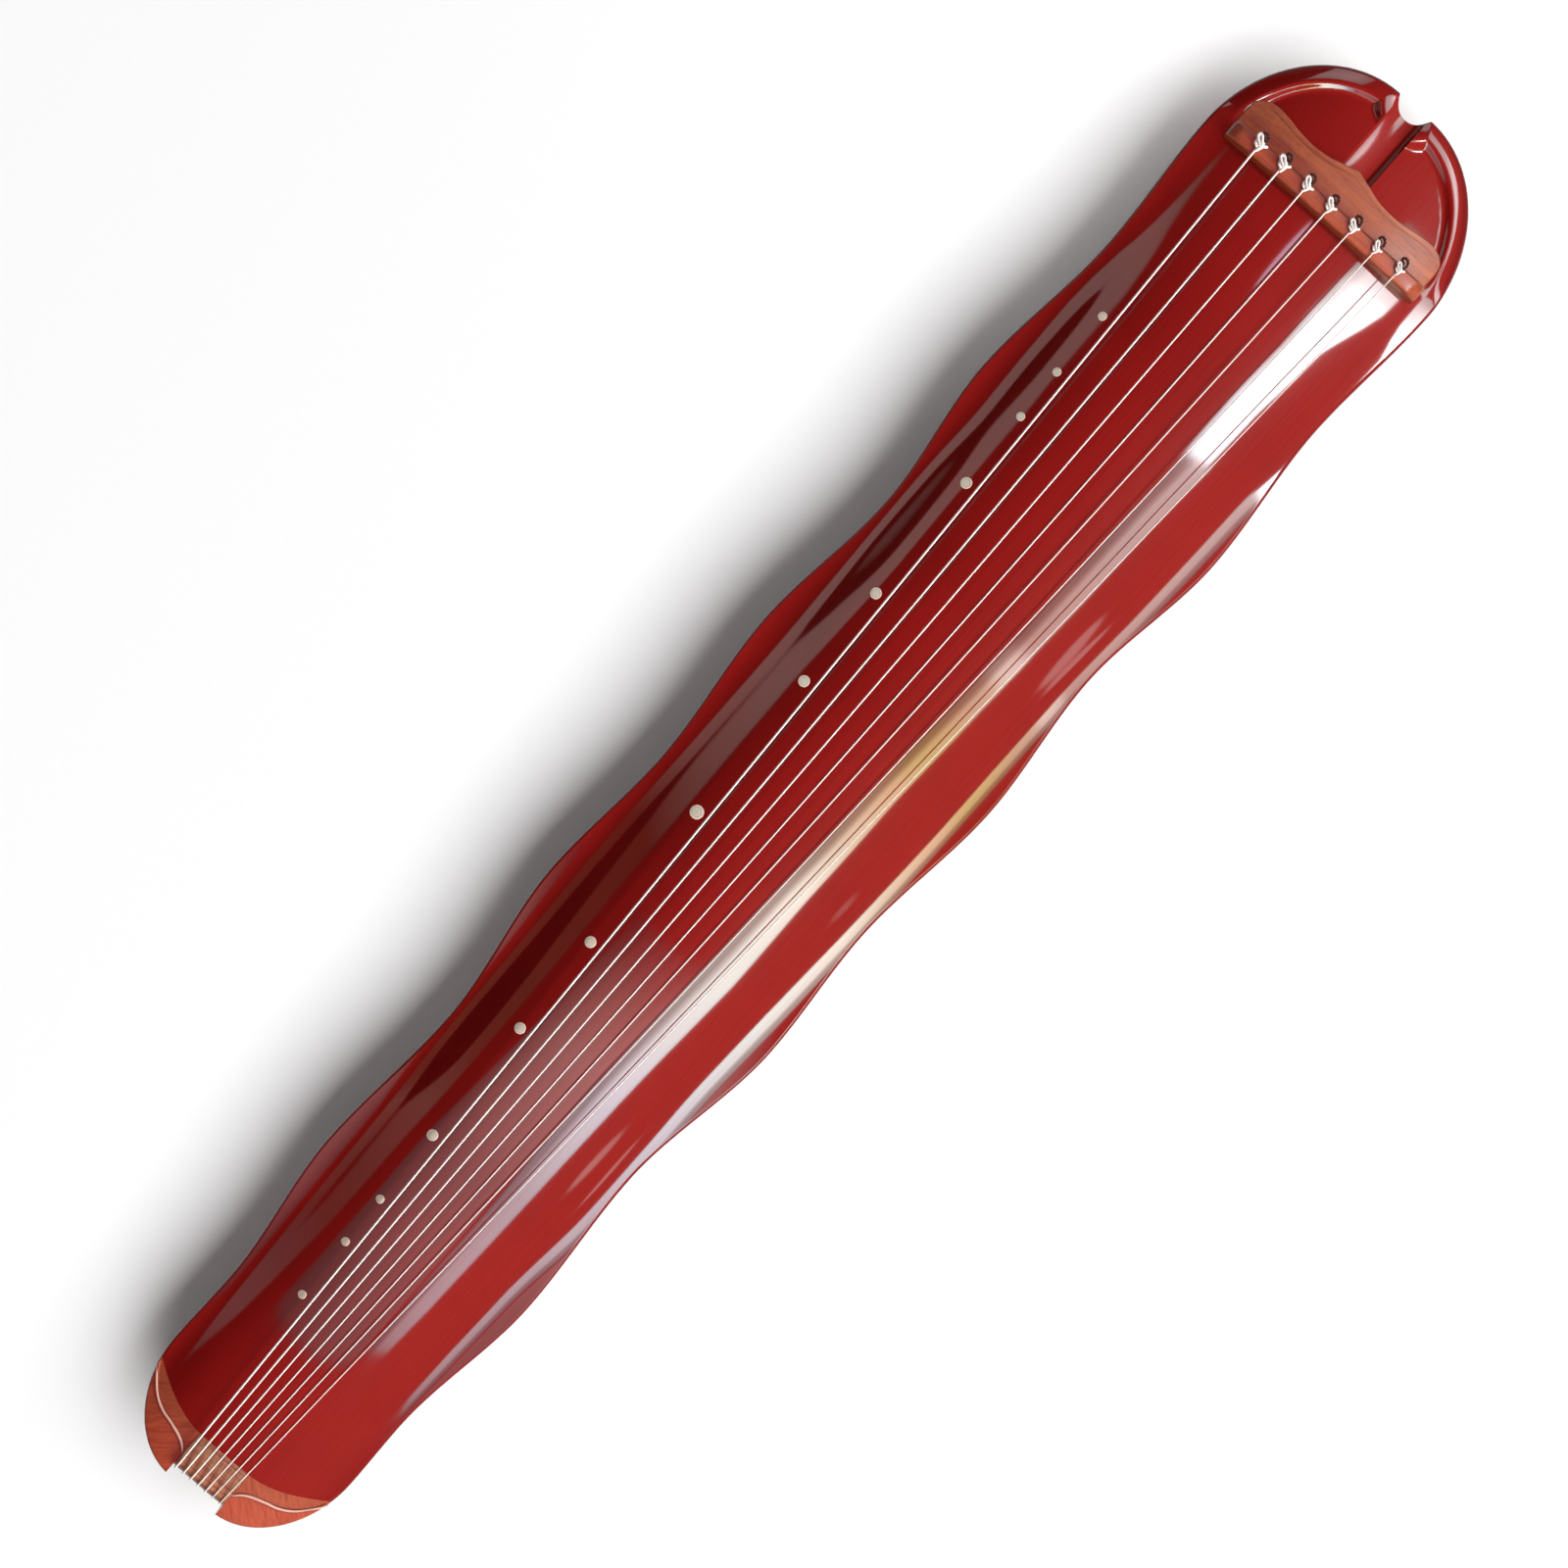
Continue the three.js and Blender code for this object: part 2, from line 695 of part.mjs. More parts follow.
// Bridge: a bowed ridge with a lip for the strings and a steep back
function bridge() {
  const steps = 3 * bendSteps;
  const ends = [-plateHalf, ...Array.from({ length: steps + 1 }, (unused, i) => (
    (plateHalf - bridgeEnd / 2) * (2 * (i / steps) - 1)
  )), plateHalf];
  return loft(ends.map((y) => {
    const top = bridgeTop(y);
    return [
      [-bridgeLip, plateFloor],
      [bridgeBack, plateFloor],
      [bridgeBack, top - bridgeLip],
      [bridgeBack - bridgeLip, top],
      [0, top],
      [-bridgeLip, top - 2 * bridgeLip],
    ].map(([x, z]) => new THREE.Vector3(stringLength + x, y, z)).reverse();
  }));
}
place('bridge', bridge(), rosewood);

// String-hole plate behind the bridge
const plateStart = stringLength + bridgeBack + fitGap;
const plateBlock = blockUnder(
  rectangleRows(plateStart, stringLength + plateReach + overrun, plateHalf + overrun, 2, 3 * bendSteps),
  plateFloor,
  (x, y) => archHeight(x, y) + plateProud,
);
const plate = cutAll(
  solid(plateBlock).intersect(solid(prism(seatPlan(plateStart, 0), plateFloor, aboveAll))),
  stringHoles(plateFloor - overrun, aboveAll),
);
place('string_hole_plate', geometryOf(plate), rosewood);

// Nut: the strings cross its ridge and turn down over its round end
function nut() {
  const half = crownGapHalf - fitGap;
  const across = [-1, -0.5, 0, 0.5, 1].map((share) => share * half);
  return loft(across.map((y) => {
    const top = nutTop(y);
    const round = Array.from({ length: bendSteps + 1 }, (unused, i) => {
      const angle = (i / bendSteps) * (Math.PI / 2);
      return [-nutEnd * Math.sin(angle), top - nutRound * (1 - Math.cos(angle))];
    });
    return [
      [nutFront, tailFloor],
      [nutFront, archHeight(nutFront, y)],
      ...round,
      [-nutEnd, tailFloor],
    ].map(([x, z]) => new THREE.Vector3(x, y, z)).reverse();
  }));
}
place('nut', nut(), rosewood);

// Crown corners: hardwood tips beside the nut, each with a raised bead
function crownCorner(side) {
  const plan = tailPlan(crownGapHalf, halfWidth, 0).map(([x, y]) => [x, side * y]);
  const region = solid(prism(side > 0 ? plan : plan.reverse(), tailFloor, aboveAll));
  const path = new THREE.SplineCurve(beadShares.map(([along, across]) => new THREE.Vector2(
    -tailReach + along * cornerLength,
    crownGapHalf + across * (tailHalfWidth - crownGapHalf),
  ))).getPoints(3 * bendSteps);
  const bead = path.map((p) => new THREE.Vector3(p.x, side * p.y, topHeight(p.x, p.y)));
  return geometryOf(bodyBlock.add(solid(tube(bead, beadRadius, tubeSides))).intersect(region));
}
place('crown_corner_far', crownCorner(1), rosewood);
place('crown_corner_near', crownCorner(-1), rosewood);

// Tail support: the strings turn round its lower edge
function tailSupport() {
  const half = crownGapHalf - fitGap;
  const front = supportLength - nutEnd;
  const round = Array.from({ length: bendSteps + 1 }, (unused, i) => {
    const angle = (i / bendSteps) * (Math.PI / 2);
    return [
      supportRound * (1 - Math.cos(angle)) - nutEnd,
      supportBottom + supportRound * (1 - Math.sin(angle)),
    ];
  });
  const section = [
    [-nutEnd, joint],
    ...round,
    [front - supportProud, supportBottom],
    [front, underside],
    [front, joint],
  ];
  return loft([-half, half].map((y) => section.map(([x, z]) => new THREE.Vector3(x, y, z)).reverse()));
}
place('tail_support', tailSupport(), rosewood);

// Studs
studShares.forEach((share, i) => {
  const stud = place(`stud_${i + 1}`, cylinder(studSize(i) / 2, -studThickness, 0, studSides), shell);
  stud.applyMatrix4(studMatrix(i));
});

// Strings: from the knot on the bridge over the nut, under the tail and round a foot
function windingOf(i) {
  const far = i <= 3;
  const order = far ? [3, 2, 1, 0] : [4, 5, 6];
  let z = underside - footShoulderHeight - windGap - gauges[order[0]] / 2;
  for (let k = 0; order[k] !== i; k += 1) {
    z -= footLoops * (gauges[order[k]] + windGap) + (gauges[order[k]] + gauges[order[k + 1]]) / 2 + bandGap;
  }
  return { side: far ? 1 : -1, start: z, radius: footNeck + windGap + gauges[i] / 2 };
}

function stringPath(i) {
  const off = fitGap + gauges[i] / 2;
  const y = nutY(i);
  const { side, start, radius } = windingOf(i);
  const bridgeZ = bridgeTop(bridgeY(i)) + off;
  const points = [
    new THREE.Vector3(stringLength + knotSetback, bridgeY(i), bridgeZ),
    new THREE.Vector3(stringLength, bridgeY(i), bridgeZ),
  ];
  for (let k = 0; k <= bendSteps; k += 1) {
    const angle = (k / bendSteps) * (Math.PI / 2);
    points.push(new THREE.Vector3(
      -(nutEnd + off) * Math.sin(angle),
      y,
      nutTop(y) - nutRound + (nutRound + off) * Math.cos(angle),
    ));
  }
  for (let k = 0; k <= bendSteps; k += 1) {
    const angle = (k / bendSteps) * (Math.PI / 2);
    points.push(new THREE.Vector3(
      supportRound - nutEnd - (supportRound + off) * Math.cos(angle),
      y,
      supportBottom + supportRound - (supportRound + off) * Math.sin(angle),
    ));
  }
  const from = points[points.length - 1];
  const toFoot = new THREE.Vector2(footX - from.x, side * footHalfSpan - from.y);
  const heading = toFoot.angle() + side * Math.asin(radius / toFoot.length());
  const first = heading + side * (Math.PI / 2);
  const turns = footLoops * loopSteps;
  for (let k = 0; k <= turns; k += 1) {
    const angle = first - side * (k / loopSteps) * 2 * Math.PI;
    points.push(new THREE.Vector3(
      footX + radius * Math.cos(angle),
      side * footHalfSpan + radius * Math.sin(angle),
      start - (k / loopSteps) * (gauges[i] + windGap),
    ));
  }
  const end = points[points.length - 1];
  const before = points[points.length - 2];
  points.push(end.clone().addScaledVector(end.clone().sub(before).normalize(), windEndLength));
  return points;
}

// Least clear distance between turns of a tube, measured on its points
function leastGap(points, diameter) {
  let least = Infinity;
  for (let i = 0; i < points.length; i += 1) {
    for (let j = i + loopSteps / 2; j < points.length; j += 1) {
      least = Math.min(least, points[i].distanceTo(points[j]) - diameter);
    }
  }
  return least;
}

stringNumbers.forEach((i) => {
  const path = stringPath(i);
  const wound = path.slice(-(loopSteps + 2));
  console.log(`string_${i + 1}: least gap between turns ${leastGap(wound, gauges[i]).toFixed(2)} mm`);
  const knot = new THREE.SphereGeometry(1, knotSides, knotSides / 2);
  knot.rotateX(Math.PI / 2);
  knot.scale(knotLength / 2, knotWidth / 2, knotHeight / 2);
  knot.translate(path[0].x, path[0].y, bridgeTop(bridgeY(i)) + fitGap + knotHeight / 2);
  const string = solid(tube(path, gauges[i] / 2, tubeSides)).add(solid(knot));
  place(`string_${i + 1}`, geometryOf(string), stringWhite);
});

// Silk loops: from the knot down behind the bridge, through the hole and into the peg
function silkPath(i) {
  const y = bridgeY(i);
  const knotBack = stringLength + knotSetback + knotLength / 2 + fitGap;
  const height = bridgeTop(y) + fitGap + knotHeight / 2;
  return [
    [knotBack, height],
    [(knotBack + holeX) / 2, height + silkDiameter / 4],
    [holeX - silkDiameter / 8, height - silkDiameter / 2],
    [holeX, height - 2 * silkDiameter],
    [holeX, pegTop - silkDepth],
  ].map(([x, z]) => new THREE.Vector3(x, y, z));
}
stringNumbers.forEach((i) => {
  place(`silk_loop_${i + 1}`, tube(silkPath(i), silkDiameter / 2, silkSides), silk);
});

// Peg plate: hardwood ceiling of the peg pool
const pegPlate = cutAll(
  solid(prism(
    roundedPlan(holeX, 0, poolWidth - 2 * fitGap, 2 * (poolHalfLength - fitGap), poolWidth / 4),
    poolCeiling - pegPlateThickness,
    poolCeiling,
  )),
  stringHoles(poolCeiling - pegPlateThickness - overrun, poolCeiling + overrun),
);
place('peg_plate', geometryOf(pegPlate), rosewood);

// Tuning pegs: a collar, a neck and a lobed grip, bored from above to meet a cross bore
function pegRing(diameter, z, lobed) {
  return Array.from({ length: studSides }, (unused, k) => {
    const angle = (k / studSides) * 2 * Math.PI;
    const radius = (diameter / 2) * (lobed && k % 2 ? pegLobeShare : 1);
    return new THREE.Vector3(radius * Math.cos(angle), radius * Math.sin(angle), z);
  });
}

function tuningPeg() {
  const length = pegTop - pegClearance;
  const grip = loft([
    pegRing(pegTipDiameter * 0.6, pegClearance, true),
    pegRing(pegTipDiameter, pegClearance + length * 0.08, true),
    pegRing(pegDiameter, pegClearance + length * 0.55, true),
    pegRing(pegNeckDiameter, pegClearance + length * 0.8, false),
    pegRing(pegNeckDiameter, pegTop - 2 * pegCollar, false),
    pegRing(pegDiameter, pegTop - pegCollar, false),
    pegRing(pegDiameter, pegTop, false),
  ]);
  const crossBore = cylinder(pegCrossBore / 2, -pegDiameter, pegDiameter, silkSides);
  crossBore.rotateX(Math.PI / 2);
  crossBore.translate(0, 0, pegTop - pegBoreDepth + pegCrossBore / 2);
  return geometryOf(cutAll(solid(grip), [
    cylinder(pegBore / 2, pegTop - pegBoreDepth, pegTop + overrun, silkSides),
    crossBore,
  ]));
}
stringNumbers.forEach((i) => {
  place(`tuning_peg_${i + 1}`, tuningPeg(), rosewood).position.set(holeX, bridgeY(i), 0);
});

// Peg guards: tapered posts, each with a tenon in the bottom board
function pegGuard(side) {
  const ring = (z, inset, corner) => ringAt(z, roundedPlan(
    holeX, side * guardY, guardLength - 2 * inset, guardThickness - inset, corner,
  ));
  const corner = guardThickness / 3;
  const post = loft([
    ring(0, guardTaper, corner / 2),
    ring(bottomRound, guardTaper * 0.7, corner * 0.8),
    ring(footHeight / 2, guardTaper * 0.6, corner),
    ring(footHeight, 0, corner),
  ]);
  const tenonTop = underside + tenonDepth;
  const tenon = box(holeX, side * guardY, guardTenon, guardTenon, footHeight - overrun, tenonTop);
  return geometryOf(solid(post).add(solid(tenon)));
}
place('peg_guard_far', pegGuard(1), rosewood);
place('peg_guard_near', pegGuard(-1), rosewood);

// Goose feet: the strings wind round their necks
function gooseFoot() {
  const profile = [
    [0, 0],
    [footBase * 0.9, 0],
    [footBase, footBaseHeight * 0.2],
    [footBase, footBaseHeight * 0.6],
    [footNeck, footBaseHeight],
    [footNeck, footHeight - footShoulderHeight],
    [footShoulder, footHeight - footShoulderHeight * 0.8],
    [footShoulder, footHeight],
    [0, footHeight],
  ].map(([radius, height]) => new THREE.Vector2(radius, height));
  const turned = new THREE.LatheGeometry(profile, turnedSides);
  turned.rotateX(Math.PI / 2);
  const tenon = box(0, 0, footTenon, footTenon, footHeight - overrun, joint + blockThickness - fitGap);
  return geometryOf(solid(turned).add(solid(tenon)));
}
place('goose_foot_far', gooseFoot(), rosewood).position.set(footX, footHalfSpan, 0);
place('goose_foot_near', gooseFoot(), rosewood).position.set(footX, -footHalfSpan, 0);

// Foot blocks inside the body hold the tenons of the feet
function footBlock(side) {
  const block = box(footX, side * footHalfSpan, blockLength, blockWidth, joint, joint + blockThickness);
  const blockTop = joint + blockThickness;
  return geometryOf(cutAll(solid(block), [
    box(footX, side * footHalfSpan, footMortise, footMortise, joint - overrun, blockTop + overrun),
  ]));
}
place('foot_block_far', footBlock(1), fir);
place('foot_block_near', footBlock(-1), fir);

// Sound posts between the bottom board and the ceiling of the trough
function postTop(x, half) {
  return archHeight(x, half) - ceilingThickness - fitGap;
}
const roundPostX = roundPostShare * stringLength;
place(
  'sound_post_round',
  cylinder(roundPost / 2, joint, postTop(roundPostX, roundPost / 2), turnedSides),
  fir,
).position.set(roundPostX, 0, 0);
const squarePostX = squarePostShare * stringLength;
place(
  'sound_post_square',
  box(squarePostX, 0, squarePost, squarePost, joint, postTop(squarePostX, squarePost / 2)),
  fir,
);

export default guqin;
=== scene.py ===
import math

import bmesh
import bpy
import numpy as np
from mathutils import Euler, Matrix, Vector


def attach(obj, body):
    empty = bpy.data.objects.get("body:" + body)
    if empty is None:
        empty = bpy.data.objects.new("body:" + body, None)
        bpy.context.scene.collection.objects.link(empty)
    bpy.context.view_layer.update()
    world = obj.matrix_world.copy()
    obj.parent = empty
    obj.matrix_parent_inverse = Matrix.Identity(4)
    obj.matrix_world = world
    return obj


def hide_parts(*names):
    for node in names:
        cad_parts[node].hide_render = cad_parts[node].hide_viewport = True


bl_info = {
    "name": "Guqin",
    "version": (1, 0, 0),
    "blender": (4, 5, 0),
    "location": "3D View > Sidebar > Guqin",
    "description": "Builds a red lacquered seven-string guqin over its packed frame",
    "category": "Add Mesh",
}

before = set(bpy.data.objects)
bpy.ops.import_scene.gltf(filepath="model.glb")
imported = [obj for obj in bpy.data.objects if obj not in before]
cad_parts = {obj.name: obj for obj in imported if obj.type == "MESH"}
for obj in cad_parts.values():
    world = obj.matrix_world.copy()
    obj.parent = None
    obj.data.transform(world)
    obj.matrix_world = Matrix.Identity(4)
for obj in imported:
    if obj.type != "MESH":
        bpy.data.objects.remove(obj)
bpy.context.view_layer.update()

# Metres. Places along X are counted from the line where the strings meet the nut, as the maker
# marks them out; mesh_object moves them to the middle of the instrument.
MM = 0.001


def linear(code):
    """Linear colour of an sRGB hex value."""
    parts = [int(code[i:i + 2], 16) / 255 for i in (1, 3, 5)]
    parts = [c / 12.92 if c <= 0.04045 else ((c + 0.055) / 1.055) ** 2.4 for c in parts]
    return (*parts, 1.0)


def length(name, description, millimetres):
    return bpy.props.FloatProperty(
        name=name, description=description, default=millimetres * MM, min=0.0, precision=5,
        unit="LENGTH", subtype="DISTANCE",
    )


def colour(name, description, code):
    return bpy.props.FloatVectorProperty(
        name=name, description=description, default=linear(code), size=4, min=0.0, max=1.0,
        subtype="COLOR",
    )


def share(name, description, default, top=1.0):
    return bpy.props.FloatProperty(
        name=name, description=description, default=default, min=0.0, max=top, subtype="FACTOR",
    )


# Tables of the shape. They are the same as in the CAD part, but for the near shoulders and flare and
# the press, which are finer than its solids.
# The side waves: place as a share of the string length, half width as a share of half_width
SIDE_SHARES = [
    (0.101, 0.76), (0.206, 0.875), (0.307, 0.812), (0.419, 0.95), (0.509, 0.89),
    (0.613, 0.98), (0.711, 0.889), (0.8085, 1), (0.909, 0.913),
]
# The crest line as a share of body_depth, and the arch as a share of arch_rise
CREST_SHARES = [
    (-0.0125, 0.88), (0.27, 0.94), (0.54, 0.985), (0.76, 1), (0.92, 0.98), (1, 0.955),
    (1.085, 0.87),
]
RISE_SHARES = [
    (-0.0125, 0.75), (0.2, 0.9), (0.45, 1), (0.8, 1), (0.89, 0.88), (0.99, 0.64), (1.085, 0.6),
]
# Half width of the straight arch under the side waves, as a share of half_width
BARREL_SHARES = [
    (-0.0125, 0.79), (0.1, 0.8), (0.25, 0.845), (0.36, 0.88), (0.46, 0.92), (0.6, 0.935),
    (0.76, 0.945), (0.86, 0.956), (1.085, 0.96),
]
# Wavy edge of the string-hole plate: shares of its reach and of its half width
PLATE_SHARES = [
    (0.6, 1), (0.75, 0.985), (0.86, 0.93), (0.92, 0.83), (0.9, 0.71), (0.845, 0.56),
    (0.82, 0.415), (0.845, 0.27), (0.93, 0.12), (1, 0),
]
# Raised bead on a crown corner: shares of its length and of its width
BEAD_SHARES = [
    (0.25, 0.01), (0.324, 0.12), (0.382, 0.34), (0.419, 0.54), (0.493, 0.71), (0.608, 0.855),
    (0.72, 0.94),
]
# Places of the studs from the bridge, as shares of the string length
STUD_SHARES = [
    1 / 8, 1 / 6, 1 / 5, 1 / 4, 1 / 3, 2 / 5, 1 / 2, 3 / 5, 2 / 3, 3 / 4, 4 / 5, 5 / 6, 7 / 8,
]
# Diameters of the seven strings
GAUGES = [1.5 * MM, 1.35 * MM, 1.2 * MM, 1.08 * MM, 0.98 * MM, 0.88 * MM, 0.78 * MM]
# Where the arch is steepest and how fast it flattens again beyond, on the far side, which has the
# studs, and on the near one, where the steepest place changes along the string length
FAR_SHOULDER = 0.78
FAR_FLARE = 2.79
NEAR_FLARE = 2.4
NEAR_SHOULDERS = [
    (0.2, 0.715), (0.27, 0.745), (0.32, 0.735), (0.38, 0.72), (0.45, 0.725), (0.555, 0.74),
    (0.69, 0.75), (0.76, 0.775), (0.84, 0.79), (0.9, 0.835), (0.95, 0.85), (1, 0.85),
]
# How much of the press the far shoulder takes, and the middle of the press across the arch, both
# along the string length. The press comes in over this share to each side of its middle.
PRESS_SHARES = [
    (0.24, 0), (0.305, 0.8), (0.4, 0.5), (0.47, 0.3), (0.53, 0.1), (0.6, 0.1), (0.645, 0.45),
    (0.695, 0.95), (0.74, 0.85), (0.785, 0.4), (0.83, 0.7), (0.87, 0.85), (0.91, 0.4), (0.94, 0),
]
PRESS_PLACES = [(0.3, 0.745), (0.66, 0.74), (0.75, 0.78), (0.85, 0.82), (0.9, 0.83)]
PRESS_RUN = 0.17
# Sound holes: place as a share of the string length, run and width in millimetres
SOUND_HOLES = [(0.64, 208, 26), (0.2, 104, 24)]
SIDES = (("far", 1), ("near", -1))
# Steps from the edge of the top inward, closest over its round, where half the width is EDGE_SCALE
EDGE_STEPS = [
    0, 0.04, 0.14, 0.3, 0.52, 0.8, 1.15, 1.55, 2.0, 2.5, 3.0, 3.5, 4.2, 5.2, 6.4, 7.6, 8.8, 10,
    11.2, 12.4, 13.6, 14.8, 16, 17.2, 18.6, 20.2, 22, 24, 26, 28, 30, 32,
]
EDGE_SCALE = 92

# Powers of the curves of the notch and of the crown's border
NOTCH_POWER = 2.5
BORDER_POWER = 1.8
# Lengths that keep their size
OVERCUT = 2 * MM  # how far a cut runs past the face that it opens
TIP_INSET = 2 * MM  # from the crown gap to the start of the rounded tail corner
HEAD_START, HEAD_END = 6 * MM, 30 * MM  # behind the string line, where the head's shape comes in
FIELD_START, FIELD_END = 2.4 * MM, 5.6 * MM  # before and past the rim's width
BRIDGE_END = 8 * MM  # outer part of the bridge, which falls faster
BRIDGE_THICKNESS = 12 * MM
BRIDGE_BACK = 10.5 * MM  # from the string line
NUT_RISE = 2.6 * MM
NUT_ROUND = 7 * MM
SUPPORT_ROUND = 6 * MM
SUPPORT_RUN = 22 * MM
SUPPORT_PROUD = 1.5 * MM  # under the bottom board
BORDER_RUN = 22 * MM  # of the crown's border, from the nut to the side
PLATE_FLOOR = 29.5 * MM  # this and the next two are heights over the underside
TAIL_FLOOR = 16 * MM
POOL_CEILING = 22 * MM
PEG_DROP = 4.3 * MM  # the peg plate and the gap under it
PEG_PLATE = 4 * MM
HOLE_RADIUS = 1.8 * MM
GUARD_HALF = 83.5 * MM
WINDING_GAP = 0.5 * MM


class GuqinBodySizes(bpy.types.PropertyGroup):
    """Sizes of the wooden body, which the frame fixes"""
    string_length: length("String length", "From the bridge to the nut", 1120)
    tail_reach: length("Tail reach", "From the nut to the crown tips", 14)
    head_reach: length("Head reach", "From the bridge to the lobes of the head", 95.5)
    half_width: length("Half width", "At the widest wave of the side", 101)
    tail_half: length("Half width of the tail", "Where the crown corners end", 77.8)
    head_half: length("Half width of the head", "At the bridge", 97.4)
    corner_length: length("Corner length", "Run of the rounded tail corners", 74)
    crown_gap: length("Crown gap", "Half of the space between the crown corners", 22)
    lobe_half: length("Lobe half", "Half of the distance between the lobes of the head", 14)
    notch_depth: length("Notch depth", "Depth of the notch between the lobes", 10.5)
    underside: length("Underside", "Height of the bottom board over the table", 32)
    joint: length("Joint", "Height of the joint between the two boards", 42)
    body_depth: length("Body depth", "From the underside to the highest place of the crest", 46.2)
    arch_rise: length("Arch rise", "Fall of the arch from its crest to its shoulder", 15)
    edge_round: length("Edge round", "Round between the top and the sides", 1.8)
    press: length("Press", "How far the shoulder beside the studs is pressed in", 1.2)
    bottom_round: length("Bottom round", "Round between the sides and the underside", 3)
    rim_width: length("Rim width", "Raised rim round the head", 12.5)
    rim_roll: length("Rim roll", "Fall of the rim from its inner crease to the edge", 2.2)
    field_depth: length("Field depth", "How far the head is sunk inside its rim", 2.6)
    valley_half: length("Valley half", "Half width of the valley that runs to the notch", 12)
    valley_depth: length("Valley depth", "How far the valley is sunk in the head", 3)


class GuqinFittingSizes(bpy.types.PropertyGroup):
    """Sizes of the hardwood fittings, strings, studs, pegs and feet"""
    fit_gap: length("Fit gap", "Gap between pieces that are turned or tied", 0.3)
    inlay_gap: length("Inlay gap", "Shadow line between the lacquer and what is let into it", 0.12)
    bridge_height: length("Bridge height", "Of its middle over the crest", 13.4)
    bridge_lip: length("Bridge lip", "How far the bridge stands before the string line", 1.5)
    bridge_bow: length("Bridge bow", "Fall of the bridge towards its ends", 3.5)
    plate_half: length("Plate half", "Half length of the bridge and its plate", 82)
    plate_reach: length("Plate reach", "From the string line to the plate's point", 39.5)
    plate_proud: length("Plate proud", "How far the plate stands over the head", 0.6)
    hole_setback: length("Hole setback", "From the string line to the string holes", 13.3)
    nut_end: length("Nut end", "From the string line to the tail end of the nut", 6.5)
    nut_front: length("Nut front", "From the string line to the front of the nut", 22.3)
    stud_offset: length("Stud offset", "From the first string to the row of studs", 8)
    nut_span: length("Span at the nut", "From the first to the seventh string", 38.6)
    bridge_span: length("Span at the bridge", "From the first to the seventh string", 121.2)
    knot: length("Knot", "Thickness of the strings in their knots", 2.1)
    silk: length("Silk", "Diameter of the twisted silk loops", 2.2)
    silk_pitch: length("Silk pitch", "Rise of one turn of the twisted silk", 4.2)
    foot_place: length("Foot place", "From the nut to the feet", 343.84)
    foot_half: length("Foot half span", "From the middle to a foot", 52)
    foot_neck: length("Foot neck", "Radius of a foot where the strings wind round it", 8.5)


class GuqinFinishes(bpy.types.PropertyGroup):
    """Colours of the finishes and strength of the light"""
    lacquer: colour("Lacquer", "Cinnabar red of the lacquer", "#6C0C0A")
    lacquer_deep: colour("Deep lacquer", "Where the lacquer lies thicker", "#600908")
    rosewood: colour("Rosewood", "Bridge and plate", "#8F5329")
    rosewood_dark: colour("Dark rosewood", "Grain of the bridge and plate", "#632F13")
    bridge: colour("Bridge wood", "Redder heartwood of the bridge", "#8E451F")
    bridge_dark: colour("Dark bridge wood", "Grain of the bridge", "#6C2C10")
    crown: colour("Crown wood", "Crown corners", "#9F4A2B")
    crown_dark: colour("Dark crown wood", "Grain of the crown corners", "#823318")
    nut_wood: colour("Nut wood", "Nut and tail support", "#9E7452")
    nut_dark: colour("Dark nut wood", "Grain of the nut", "#6B3B1E")
    shell: colour("Shell", "Mother of pearl", "#FFF3DC")
    string: colour("String", "Wound strings", "#FBF6F0")
    silk: colour("Silk", "Silk loops", "#241813")
    fir: colour("Fir", "Inner blocks and posts", "#C9A678")
    light: share("Light", "Strength of all lamps", 1.0, 4.0)


def body():
    return bpy.context.scene.guqin_body


def fittings():
    return bpy.context.scene.guqin_fittings


def finishes():
    return bpy.context.scene.guqin_finishes


# Shape of the instrument

def through(table, x):
    """Smooth curve through a table of places and values, flat at each peak and dip."""
    places, values = np.array(table, float).T
    slope = np.diff(values) / np.diff(places)
    rising = slope[:-1] * slope[1:] > 0
    both = np.where(rising, slope[:-1] + slope[1:], 1)
    tangent = np.zeros(len(places))
    tangent[1:-1] = np.where(rising, 2 * slope[:-1] * slope[1:] / both, 0)
    at = np.clip(x, places[0], places[-1])
    i = np.clip(np.searchsorted(places, at, side="left") - 1, 0, len(places) - 2)
    run = np.diff(places)[i]
    rise = np.diff(values)[i]
    t = (at - places[i]) / run
    bend = run * t * (1 - t) * ((1 - t) * tangent[i] - t * tangent[i + 1])
    return values[i] + rise * t * t * (3 - 2 * t) + bend


def side_half(x):
    b = body()
    table = [(b.corner_length - b.tail_reach, b.tail_half)]
    table += [(place * b.string_length, width * b.half_width) for place, width in SIDE_SHARES]
    table += [(b.string_length, b.head_half)]
    return through(table, x)


def notch_x(y):
    b = body()
    near = np.minimum(1, np.abs(y) / b.lobe_half)
    return b.string_length + b.head_reach - b.notch_depth * (1 - near ** NOTCH_POWER)


